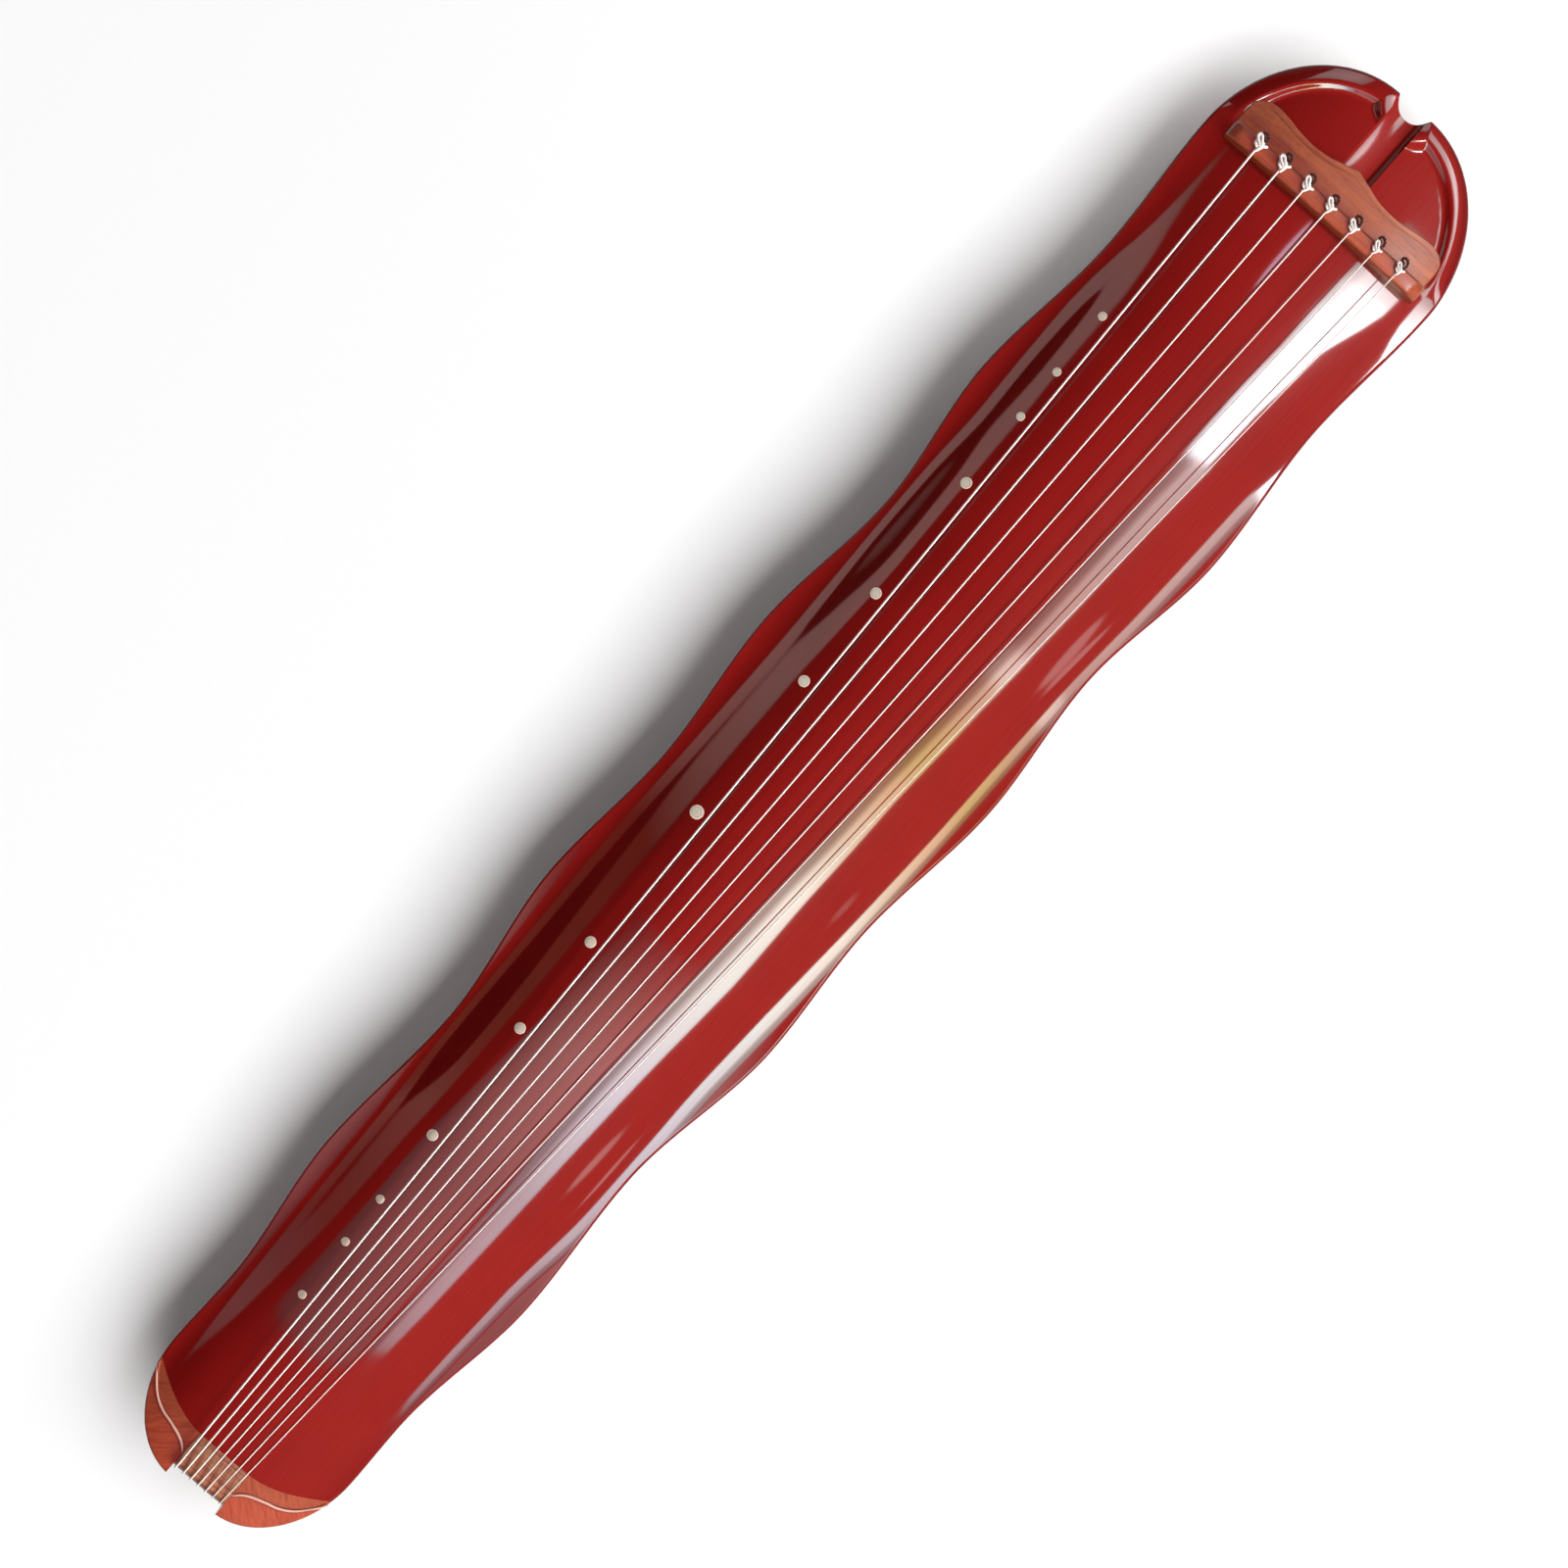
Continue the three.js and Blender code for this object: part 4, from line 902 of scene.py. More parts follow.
def twisted_silk():
    """Reeled silk dyed dark and twisted: it gives the eye a dark cord with a soft sheen and specks
    of thread. Real threads are much finer, and are drawn 0.5 mm across so that they show."""
    look = finishes()
    material, tree, shader = new_material("Silk cord, dyed and twisted")
    spot = add_node(tree, "TexCoord").outputs["Object"]
    threads = add_node(tree, "TexNoise", {"Vector": spot, "Scale": 1 / (0.5 * MM), "Detail": 2.0})
    tone = add_node(tree, "ValToRGB", {"Fac": threads.outputs["Fac"]}, stops=[
        (0.3, scaled(look.silk, 0.6)), (0.7, scaled(look.silk, 1.6)),
    ])
    relief = add_node(tree, "Bump", {"Height": threads.outputs["Fac"], "Distance": 0.05 * MM})
    set_inputs(tree, shader, {
        "Base Color": tone.outputs["Color"], "Roughness": 0.6, "Sheen Weight": 0.3,
        "Sheen Roughness": 0.4, "Normal": relief.outputs["Normal"],
    })
    return material


def sawn_fir():
    """Fir as it comes from the saw: it gives the eye a pale dry wood with bands and no gloss."""
    look = finishes()
    return oiled_wood(
        "Fir, sawn and left bare", look.fir, scaled(look.fir, 0.55), (1, 0, 0),
        ring=4.0, gloss=0.0, pores=0.1, fibre=0.6,
    )


def sawn_paulownia():
    """Paulownia, gouged out and left bare inside the soundboard: it gives the eye a dull brown with
    soft wide bands, seen through the sound holes."""
    look = finishes()
    return oiled_wood(
        "Paulownia, gouged and left bare", scaled(look.fir, 0.7), scaled(look.fir, 0.4), (1, 0, 0),
        ring=5.0, gloss=0.0, pores=0.2, fibre=0.8,
    )


# Plans that the cuts and the pieces share

def plate_edge(gap):
    """One half of the plate's wavy edge, from its end to the point on the axis."""
    b, f = body(), fittings()
    path = spline([
        (b.string_length + reach * f.plate_reach, across * f.plate_half, 0)
        for reach, across in PLATE_SHARES
    ], 6)
    return [(p.x + gap, p.y + gap * p.y / f.plate_half) for p in path]


def seat_plan(front, gap):
    """Plan of the plate from a place along X, or of its seat where there is a gap."""
    near = [(x, -y) for x, y in plate_edge(gap)]
    far = plate_edge(gap)[::-1][1:]
    half = fittings().plate_half + gap
    return [(front, -half)] + near + far + [(front, half)]


def tail_plan(from_y, to_y, gap):
    """Plan of the tail beyond the crown's border, from one place across to another."""
    y = np.linspace(from_y, to_y, 49)
    border = list(zip(crown_border(y) + gap, y))
    beyond = -body().tail_reach - OVERCUT
    return [(beyond, from_y)] + border + [(beyond, to_y)]


def stud_size(i):
    """Diameter: largest for the seventh, smaller for three on each side, smallest for the rest."""
    from_middle = abs(i - 6)
    return (10 if from_middle == 0 else 8.2 if from_middle <= 3 else 6.3) * MM


def stud_frame(i):
    """Place of a stud, the two directions of its face and its upright."""
    b, f = body(), fittings()
    x = b.string_length * (1 - STUD_SHARES[i])
    y = nut_y(0) + (bridge_y(0) - nut_y(0)) * (x / b.string_length) + f.stud_offset
    reach = 3.15 * MM  # the slope is taken over the smallest stud
    xs = np.array([x, x - reach, x + reach, x, x])
    ys = np.array([y, y, y, y - reach, y + reach])
    z = top_height(xs, ys)
    up = Vector(((z[1] - z[2]) / (2 * reach), (z[3] - z[4]) / (2 * reach), 1)).normalized()
    across = Vector((0, 1, 0)).cross(up).normalized()
    return Vector((x, y, z[0])), across, up.cross(across), up


def turned_on(place, across, along, up, profile, sides=48):
    """Solid turned from a profile of (radius, height) about an upright at a place."""
    around = whole_turn(sides)
    circle = np.outer(np.cos(around), across) + np.outer(np.sin(around), along)
    return loft([
        np.array(place) + np.array(up) * height + circle * radius for radius, height in profile
    ])


def body_block():
    """The whole upper body with its finely stepped top."""
    near = 1 - np.array(EDGE_STEPS) / EDGE_SCALE
    inner = np.linspace(near[-1], 0, 26)[1:]
    half = np.concatenate([near, inner])
    shares = np.concatenate([-half, half[-2::-1]])
    x, y, axis = outline(corners=30, sides=440, heads=72, notches=16)
    along = axis[:, None] + (x - axis)[:, None] * np.abs(shares)
    across = y[:, None] * shares
    return block_under(along, across, body().joint, top_height(along, across))


def bottom_ring(z, inset):
    """The outline at a height, drawn in by an inset."""
    x, y, _ = outline(corners=30, sides=330, heads=72, notches=16)
    loop = np.vstack([np.column_stack([x, y]), np.column_stack([x, -y])[::-1]])
    run = np.roll(loop, -1, axis=0) - np.roll(loop, 1, axis=0)
    run /= np.linalg.norm(run, axis=1)[:, None]
    moved = loop + inset * np.column_stack([run[:, 1], -run[:, 0]])
    return np.column_stack([moved, np.full(len(moved), z)])[::-1]


def pool_plan(smaller=0.0):
    """Plan of the peg pool, made smaller by some millimetres for the plate that lies in it."""
    return rounded_plan(hole_x(), 0, (30 - smaller) * MM, (150 - smaller) * MM, 7.5 * MM)


def above_all():
    """Height over everything that a cut from above has to open."""
    b = body()
    return b.underside + b.body_depth + 4 * MM


# Operators

class GUQIN_OT_stage(bpy.types.Operator):
    """Sets up the floor, the soft light and the camera at the photograph's angle"""
    bl_idname = "guqin.stage"
    bl_label = "Stage"

    def execute(self, context):
        scene = context.scene
        scene.view_settings.view_transform = "Standard"
        floor = self.floor()
        self.world(scene)
        self.lamps(scene, floor)
        self.cards()
        # the camera was fitted to the places of the thirteen studs in the photograph
        camera = bpy.data.cameras.new("Camera")
        camera.lens = 70
        camera.sensor_width = 36
        camera.clip_end = 100
        holder = bpy.data.objects.new("Camera", camera)
        holder.location = (0.1383, 0.1058, 2.0843)
        degrees = (-4.379, 0.487, -48.637)
        holder.rotation_euler = Euler([math.radians(a) for a in degrees], "XYZ")
        scene.collection.objects.link(holder)
        scene.camera = holder
        return {"FINISHED"}

    def floor(self):
        """White paper: seen directly or in a gloss it adds a little of its own white, and it keeps
        the shadow of the instrument. Metres away it passes into plain white."""
        material, tree, shader = new_material("White paper sweep, matt")
        spot = add_node(tree, "TexCoord").outputs["Object"]
        fibres = add_node(tree, "TexNoise", {"Vector": spot, "Scale": 1 / (4 * MM), "Detail": 2.0})
        tone = add_node(tree, "ValToRGB", {"Fac": fibres.outputs["Fac"]}, stops=[
            (0.0, (0.89, 0.89, 0.89, 1)), (1.0, (0.91, 0.91, 0.91, 1)),
        ])
        ray = add_node(tree, "LightPath")
        seen = add_node(tree, "Math", {
            0: ray.outputs["Is Camera Ray"], 1: ray.outputs["Is Glossy Ray"],
        }, operation="ADD")
        seen = add_node(tree, "Math", {
            0: seen.outputs["Value"], 1: ray.outputs["Is Transmission Ray"],
        }, operation="ADD")
        from_middle = add_node(tree, "VectorMath", {0: spot}, operation="LENGTH").outputs["Value"]
        start, end = 1.2, 4.0  # metres from the middle, between which the paper passes into white
        own_white = add_node(tree, "MapRange", {
            "Value": from_middle, "From Min": start, "From Max": end, "To Min": 0.06, "To Max": 1.0,
        })
        paper = add_node(tree, "MapRange", {
            "Value": from_middle, "From Min": start, "From Max": end, "To Min": 1.0, "To Max": 0.0,
        })
        glow = add_node(tree, "Math", {
            0: seen.outputs["Value"], 1: own_white.outputs["Result"],
        }, operation="MULTIPLY")
        faded = add_node(tree, "Mix", {
            0: 1.0, 6: tone.outputs["Color"], 7: paper.outputs["Result"],
        }, data_type="RGBA", blend_type="MULTIPLY")
        set_inputs(tree, shader, {
            "Base Color": faded.outputs[2], "Roughness": 0.9, "Specular IOR Level": 0.0,
            "Emission Color": (1, 1, 1, 1), "Emission Strength": glow.outputs["Value"],
        })
        mesh = bpy.data.meshes.new("Floor")
        plane = bmesh.new()
        bmesh.ops.create_grid(plane, x_segments=8, y_segments=8, size=12)
        plane.to_mesh(mesh)
        plane.free()
        mesh.materials.append(material)
        floor = bpy.data.objects.new("Floor", mesh)
        bpy.context.scene.collection.objects.link(floor)
        return floor

    def world(self, scene):
        """White to the camera. Glossy surfaces see a pale grey low round the horizon, a dim red wall
        over it and a red curtain overhead that darkens towards the studs' side; the rest gets a weak
        even fill."""
        world = bpy.data.worlds.new("Studio")
        world.use_nodes = True
        tree = world.node_tree
        tree.nodes.clear()
        ray = add_node(tree, "LightPath")
        spot = add_node(tree, "TexCoord").outputs["Generated"]
        parts = add_node(tree, "SeparateXYZ", {"Vector": spot})
        across = add_node(tree, "MapRange", {
            "Value": parts.outputs["Y"], "From Min": -0.6, "From Max": 0.4,
        })
        curtain = add_node(tree, "ValToRGB", {"Fac": across.outputs["Result"]}, stops=[
            (0.1, (0.87, 0.07, 0.056, 1)), (0.3, (0.84, 0.062, 0.05, 1)),
            (0.55, (0.72, 0.035, 0.03, 1)), (0.68, (0.62, 0.025, 0.022, 1)),
            (0.84, (0.36, 0.012, 0.01, 1)), (0.95, (0.2, 0.005, 0.004, 1)),
        ])
        wall = add_node(tree, "ValToRGB", {"Fac": parts.outputs["Z"]}, stops=[
            (0.04, (0.19, 0.17, 0.17, 1)), (0.2, (0.22, 0.08, 0.075, 1)),
            (0.6, (0.26, 0.045, 0.04, 1)),
        ])
        high = add_node(tree, "MapRange", {
            "Value": parts.outputs["Z"], "From Min": 0.58, "From Max": 0.72,
        })
        sky = add_node(tree, "Mix", {
            0: high.outputs["Result"], 6: wall.outputs["Color"], 7: curtain.outputs["Color"],
        }, data_type="RGBA")
        # wall and curtain stand under a lamp of their own, so their colours are raised
        raised = 4.2
        sky = add_node(tree, "Mix", {0: 1.0, 6: sky.outputs[2], 7: (raised, raised, raised, 1)},
                       data_type="RGBA", blend_type="MULTIPLY")
        either = add_node(tree, "Math", {
            0: ray.outputs["Is Glossy Ray"], 1: ray.outputs["Is Transmission Ray"],
        }, operation="ADD")
        gloss = add_node(tree, "Mix", {
            0: either.outputs["Value"], 6: (0.11, 0.11, 0.11, 1), 7: sky.outputs[2],
        }, data_type="RGBA")
        shade = add_node(tree, "Mix", {
            0: ray.outputs["Is Camera Ray"], 6: gloss.outputs[2], 7: (1, 1, 1, 1),
        }, data_type="RGBA")
        back = add_node(tree, "Background", {"Color": shade.outputs[2], "Strength": 1.0})
        add_node(tree, "OutputWorld", {"Surface": back.outputs["Background"]})
        scene.world = world

    def lamps(self, scene, floor):
        """Soft lamps from the side of the seventh string: a high one for the paper, a small one that
        helps it over the head, and a low one for the instrument. The polish shows the cards
        instead."""
        only_floor = bpy.data.collections.new("Lit by the high lamp")
        only_floor.objects.link(floor)
        all_but_floor = bpy.data.collections.new("Passed by the low lamp")
        all_but_floor.objects.link(floor)
        all_but_floor.collection_objects[0].light_linking.link_state = "EXCLUDE"
        # name, place along X, elevation in degrees, distance, size, level, receivers; the level is
        # the irradiance on the table over pi
        for name, x, elevation, away, size, level, receivers in (
            ("High lamp", 0, 56, 12.0, (18.0, 8.8), 1.38, only_floor),
            ("Lamp by the head", 0.62, 110, 0.3, (0.2, 0.2), 0.33, only_floor),
            ("Low lamp", 0, 30, 4.0, (4.0, 1.4), 1.0, all_but_floor),
        ):
            tilt = math.radians(elevation)
            lamp = bpy.data.lights.new(name, "AREA")
            lamp.shape = "RECTANGLE"
            lamp.size, lamp.size_y = size
            lamp.energy = level * math.pi ** 2 * away ** 2 / math.sin(tilt) * finishes().light
            holder = bpy.data.objects.new(name, lamp)
            holder.location = (x, -away * math.cos(tilt), away * math.sin(tilt))
            holder.rotation_euler = (math.pi / 2 - tilt, 0, 0)
            holder.visible_camera = False
            holder.visible_glossy = False
            holder.light_linking.receiver_collection = receivers
            scene.collection.objects.link(holder)

    def card(self, name, rows, across=((0, 1), (1, 1))):
        """Card 2.6 m over the table that only the polish shows. Each row has a place along X, the
        two edges along Y and a radiance; across gives its strength from the first edge to the
        second."""
        high = 2.6
        points, glow = [], []
        for x, near, far, radiance in rows:
            for part, strength in across:
                points.append((x, near + (far - near) * part, high))
                glow += [c * strength for c in radiance] + [1.0]
        size = len(across)
        faces = [(i + k, i + k + 1, i + k + size + 1, i + k + size)
                 for i in range(0, (len(rows) - 1) * size, size) for k in range(size - 1)]
        mesh = bpy.data.meshes.new(name)
        mesh.from_pydata(points, [], faces)
        mesh.attributes.new("glow", "FLOAT_COLOR", "POINT").data.foreach_set("color", glow)
        material = bpy.data.materials.new("Card, " + name)
        material.use_nodes = True
        tree = material.node_tree
        tree.nodes.clear()
        shade = add_node(tree, "Attribute", attribute_name="glow")
        emission = add_node(tree, "Emission", {"Color": shade.outputs["Color"], "Strength": 1.0})
        add_node(tree, "OutputMaterial", {"Surface": emission.outputs["Emission"]})
        mesh.materials.append(material)
        holder = bpy.data.objects.new(name, mesh)
        for ray in ("camera", "diffuse", "shadow", "transmission", "volume_scatter"):
            setattr(holder, "visible_" + ray, False)
        bpy.context.scene.collection.objects.link(holder)

    def oval_card(self, name, x, y, length_x, width_y, radiance):
        """Card with a round outline, a little dimmer at both edges."""
        rows = []
        for k in range(13):
            angle = k / 12 * math.pi
            half = width_y / 2 * max(0.02, math.sin(angle))
            rows.append((x - length_x / 2 * math.cos(angle), y - half, y + half, radiance))
        self.card(name, rows, ((0, 0.6), (0.12, 1), (0.88, 1), (1, 0.6)))

    def cards(self):
        """Bright and dark cards that give the polish the reflections of the photograph."""
        self.card("Strip along the strings", [
            (-1.3, -0.69, -0.96, (3.5, 3.2, 3.4)), (-1.22, -0.67, -1.02, (5, 4.6, 5)),
            (-0.965, -0.64, -1.06, (6.2, 6.2, 6.8)), (-0.744, -0.57, -1.08, (10, 11, 12)),
            (-0.62, -0.58, -1.11, (11.5, 13, 13)), (-0.51, -0.61, -1.13, (13, 15, 14)),
            (-0.304, -0.66, -1.08, (15, 15, 13)), (-0.198, -0.69, -1.08, (12, 11, 8)),
            (-0.085, -0.71, -1.07, (11, 8.2, 5)), (-0.02, -0.73, -1.09, (9, 7.6, 3)),
            (0.05, -0.75, -1.11, (8.5, 7, 3.2)), (0.11, -0.77, -1.12, (8.5, 6.4, 4.4)),
            (0.15, -0.78, -1.13, (9, 6.8, 4.8)), (0.17, -0.78, -1.13, (12, 10.5, 9)),
            (0.215, -0.79, -1.15, (11, 9, 8)), (0.235, -0.8, -1.15, (7, 5.2, 4.4)),
            (0.355, -0.81, -1.18, (7.4, 5.8, 5.2)), (0.64, -0.82, -1.2, (7.4, 6.8, 6.6)),
        ], (
            (0, 0.12), (0.14, 0.42), (0.2, 0.3), (0.36, 0.62), (0.46, 1.0), (0.62, 0.92),
            (0.72, 1.05), (0.94, 1.0), (1, 0.75),
        ))
        self.card("White strip over the head", [
            (0.641, -0.78, -1.14, (21, 22, 23)), (0.76, -0.72, -1.08, (23, 24, 25)),
            (0.85, -0.69, -1.02, (24, 25, 25)), (0.94, -0.63, -1.08, (24, 25, 26)),
            (1.03, -0.61, -1.12, (22, 22, 22)), (1.09, -0.62, -1.12, (14, 13, 13)),
            (1.15, -0.62, -1.12, (9, 8, 8)), (1.4, -0.7, -1.1, (6, 5, 5)),
        ], ((0, 0.3), (0.1, 0.6), (0.3, 1), (1, 1)))
        self.card("Haze over the tail", [
            (-1.335, 0.77, -0.66, (1.0, 0.4, 0.4)), (-1.32, 0.77, -0.66, (1.9, 0.8, 0.8)),
            (-0.965, 0.77, -0.6, (2.6, 1.3, 1.3)), (-0.7, 0.6, -0.56, (4.2, 2.1, 2.0)),
            (-0.6, 0.55, -0.58, (3.6, 1.5, 1.4)), (-0.48, 0.5, -0.62, (2.9, 0.4, 0.4)),
        ], ((0, 0.25), (0.06, 0.4), (0.3, 0.72), (0.6, 0.95), (1, 1.15)))
        self.oval_card("Glint over the tail", -0.885, -1.44, 0.13, 0.12, (6.0, 2.7, 2.5))
        self.oval_card("Glint over the middle", -0.3, -1.57, 0.06, 0.04, (5.0, 1.8, 1.6))
        self.oval_card("Glint over the head half", 0.28, -1.55, 0.16, 0.15, (6.0, 2.7, 2.5))
        self.oval_card("Glint by the bridge", 1.0, -0.11, 0.17, 0.05, (8, 5, 6.5))
        self.card("Grey bank behind the studs", [
            (-1.6, 1.3, 1.5, (0.8, 0.25, 0.25)), (-1.4, 1.08, 1.34, (1.2, 0.6, 0.6)),
            (-1.22, 1.0, 1.3, (0.9, 0.25, 0.2)), (-0.95, 0.98, 1.36, (1.2, 0.55, 0.45)),
            (-0.85, 0.98, 1.36, (0.8, 0.25, 0.15)), (-0.42, 0.98, 1.36, (0.6, 0.14, 0.08)),
            (-0.28, 0.99, 1.36, (1.2, 0.7, 0.6)), (-0.08, 1.01, 1.36, (1.7, 1.15, 1.05)),
            (0.57, 1.01, 1.36, (1.6, 1.1, 1.0)), (0.72, 0.9, 1.36, (1.6, 1.1, 1.0)),
            (1.0, 0.82, 1.3, (1.3, 0.8, 0.7)), (1.1, 0.82, 1.2, (1.0, 0.4, 0.35)),
        ], ((0, 0.7), (0.1, 1), (0.9, 1), (1, 0.8)))
        self.card("Dark wall behind the grey bank", [
            (x, 1.36, far, (0, 0, 0)) for x, far in (
                (-1.6, 1.6), (-1.0, 1.8), (-0.8, 2.6), (-0.45, 2.4), (-0.3, 1.56), (1.3, 1.56),
            )
        ])
        self.card("Dim wall behind the dark one", [
            (-0.5, 1.56, 1.95, (0.7, 0.5, 0.45)), (1.1, 1.56, 1.95, (0.7, 0.5, 0.45)),
        ], ((0, 0.3), (0.3, 1), (1, 1)))
        self.card("Pale shelf over the crown", [
            (-2.2, -0.4, -1.9, (4, 2.4, 2.1)), (-1.72, -0.6, -1.7, (4, 2.4, 2.1)),
            (-1.64, -0.6, -1.6, (3.5, 0.5, 0.4)),
        ], ((0, 0.7), (0.2, 1), (1, 1)))
        self.card("Window beyond the head", [
            (1.5, -0.3, -1.75, (6, 4.6, 4.6)), (1.9, 0.0, -1.75, (7, 6, 6)),
            (2.35, 0.0, -1.5, (6, 4.6, 4.6)),
        ], ((0, 0.6), (0.5, 1), (0.7, 1.8), (0.8, 1.8), (1, 0.9)))
        self.card("Second window beyond the head", [
            (1.7, 0.45, 1.0, (2.4, 1.6, 1.6)), (2.2, 0.55, 1.3, (3.4, 2.4, 2.4)),
            (3.2, 0.7, 1.7, (3, 2, 2)),
        ], ((0, 0.6), (0.3, 1), (1, 0.8)))


class GUQIN_OT_soundboard(bpy.types.Operator):
    """Carves the arched soundboard with its head, seats and pockets"""
    bl_idname = "guqin.soundboard"
    bl_label = "Soundboard"

    def execute(self, context):
        b, f = body(), fittings()
        lacquer, bare = polished_lacquer(), sawn_paulownia()
        gap = f.inlay_gap
        board = mesh_object("Soundboard", [body_block()], lacquer)
        seats = [
            prism(tail_plan(-b.half_width, b.half_width, gap), tail_floor(), above_all()),
            prism(seat_plan(b.string_length - f.bridge_lip - gap, gap), plate_floor(), above_all()),
        ]
        for i in range(len(STUD_SHARES)):
            profile = [(stud_size(i) / 2 + gap, -2.1 * MM), (stud_size(i) / 2 + gap, 3 * MM)]
            seats.append(turned_on(*stud_frame(i), profile))
        combine(board, mesh_object("Seats", seats, lacquer))
        low = b.joint - OVERCUT
        pool = prism(pool_plan(), low, pool_ceiling())
        combine(board, mesh_object("Hollow", [self.trough(), pool], bare))
        holes = string_holes(pool_ceiling() - OVERCUT, plate_floor() + OVERCUT)
        # pockets for the foot blocks, with a gap round them
        pockets = [
            box(f.foot_place, side * f.foot_half, 34.6 * MM, 26.6 * MM, low, b.joint + 11.3 * MM)
            for _, side in SIDES
        ]
        combine(board, mesh_object("Holes", holes + pockets, bare))
        # the tail ends short between the crown corners, behind the nut
        middle = -f.nut_end - b.tail_reach / 2
        recess = box(middle, 0, b.tail_reach, 2 * b.crown_gap, 0, above_all())
        combine(board, mesh_object("Valley", [recess, self.valley()], lacquer))
        settle(board, ["soundboard"])
        return {"FINISHED"}

    def trough(self):
        """Hollow under the top, with the carved blocks left standing over the sound holes."""
        b = body()
        end, wall, thickness, block = 80 * MM, 15 * MM, 10 * MM, 6 * MM
        around = 16  # millimetres from the edge of a sound hole to the edge of its block
        x = np.linspace(end, b.string_length - end, 160)[:, None]
        part = np.linspace(-1, 1, 41)[None, :]
        y = (side_half(x) - wall) * part
        x = x + 0 * y
        ceiling = arch(x, y) - thickness
        for place, run, width in SOUND_HOLES:
            middle = place * b.string_length
            far = ((x - middle) / (run / 2 + around) / MM) ** 2
            far = far + (y / (width / 2 + around) / MM) ** 2
            dome = arch(middle, 0) - thickness - block * np.sqrt(np.maximum(0, 1 - far))
            ceiling = np.where(far < 1, np.minimum(ceiling, dome), ceiling)
        return block_under(x, y, b.joint - OVERCUT, ceiling)

    def valley(self):
        """Valley from under the plate out through the notch. It is deepest off its middle, and the
        string-hole plate covers its start."""
        b, f = body(), fittings()
        start = b.string_length + f.plate_reach / 2
        level_from = float(notch_x(0)) + 12 * MM
        deepest = -0.6
        y = np.linspace(-1, 1, 33)
        far = np.where(y > deepest, (y - deepest) / (1 - deepest), (y - deepest) / (1 + deepest))
        rings = []
        for x in np.linspace(start, b.string_length + b.head_reach + OVERCUT, 30):
            edge = float(arch(min(x, level_from), b.valley_half)) - b.field_depth
            floor = edge - b.valley_depth * (1 - far ** 2)
            ring = [(x, v * b.valley_half, z) for v, z in zip(y, floor)]
            high = edge + b.field_depth + 4 * MM
            rings.append(ring + [(x, b.valley_half, high), (x, -b.valley_half, high)])
        return loft(rings)


class GUQIN_OT_bottom_board(bpy.types.Operator):
    """Cuts the flat bottom board with its two sound holes, the peg pool and the sockets"""
    bl_idname = "guqin.bottom_board"
    bl_label = "Bottom board"

    def execute(self, context):
        b, f = body(), fittings()
        lacquer = polished_lacquer()
        rings = []
        for angle in quarter_turn(6):
            inset = b.bottom_round * (1 - math.sin(angle))
            rings.append(bottom_ring(b.underside + b.bottom_round * (1 - math.cos(angle)), inset))
        rings.append(bottom_ring(b.joint, 0))
        board = mesh_object("Bottom_board", [loft(rings)], lacquer)
        low, high = b.underside - OVERCUT, b.joint + OVERCUT
        corner = 9 * MM
        cuts = [
            prism(rounded_plan(place * b.string_length, 0, run * MM, width * MM, corner), low, high)
            for place, run, width in SOUND_HOLES
        ]
        seat_middle, seat_run = 0.75 * MM, 30.1 * MM  # of the tail support
        cuts.append(prism(pool_plan(), low, high))
        cuts.append(box(seat_middle, 0, seat_run, 2 * b.crown_gap, low, high))
        # square sockets for the tenons of feet and guards
        foot, guard, guard_top = 10.6 * MM, 8.6 * MM, b.underside + 8.3 * MM
        for _, side in SIDES:
            cuts.append(box(f.foot_place, side * f.foot_half, foot, foot, low, high))
            cuts.append(box(hole_x(), side * GUARD_HALF, guard, guard, low, guard_top))
        combine(board, mesh_object("Holes", cuts, lacquer))
        settle(board, ["bottom_board"])
        return {"FINISHED"}


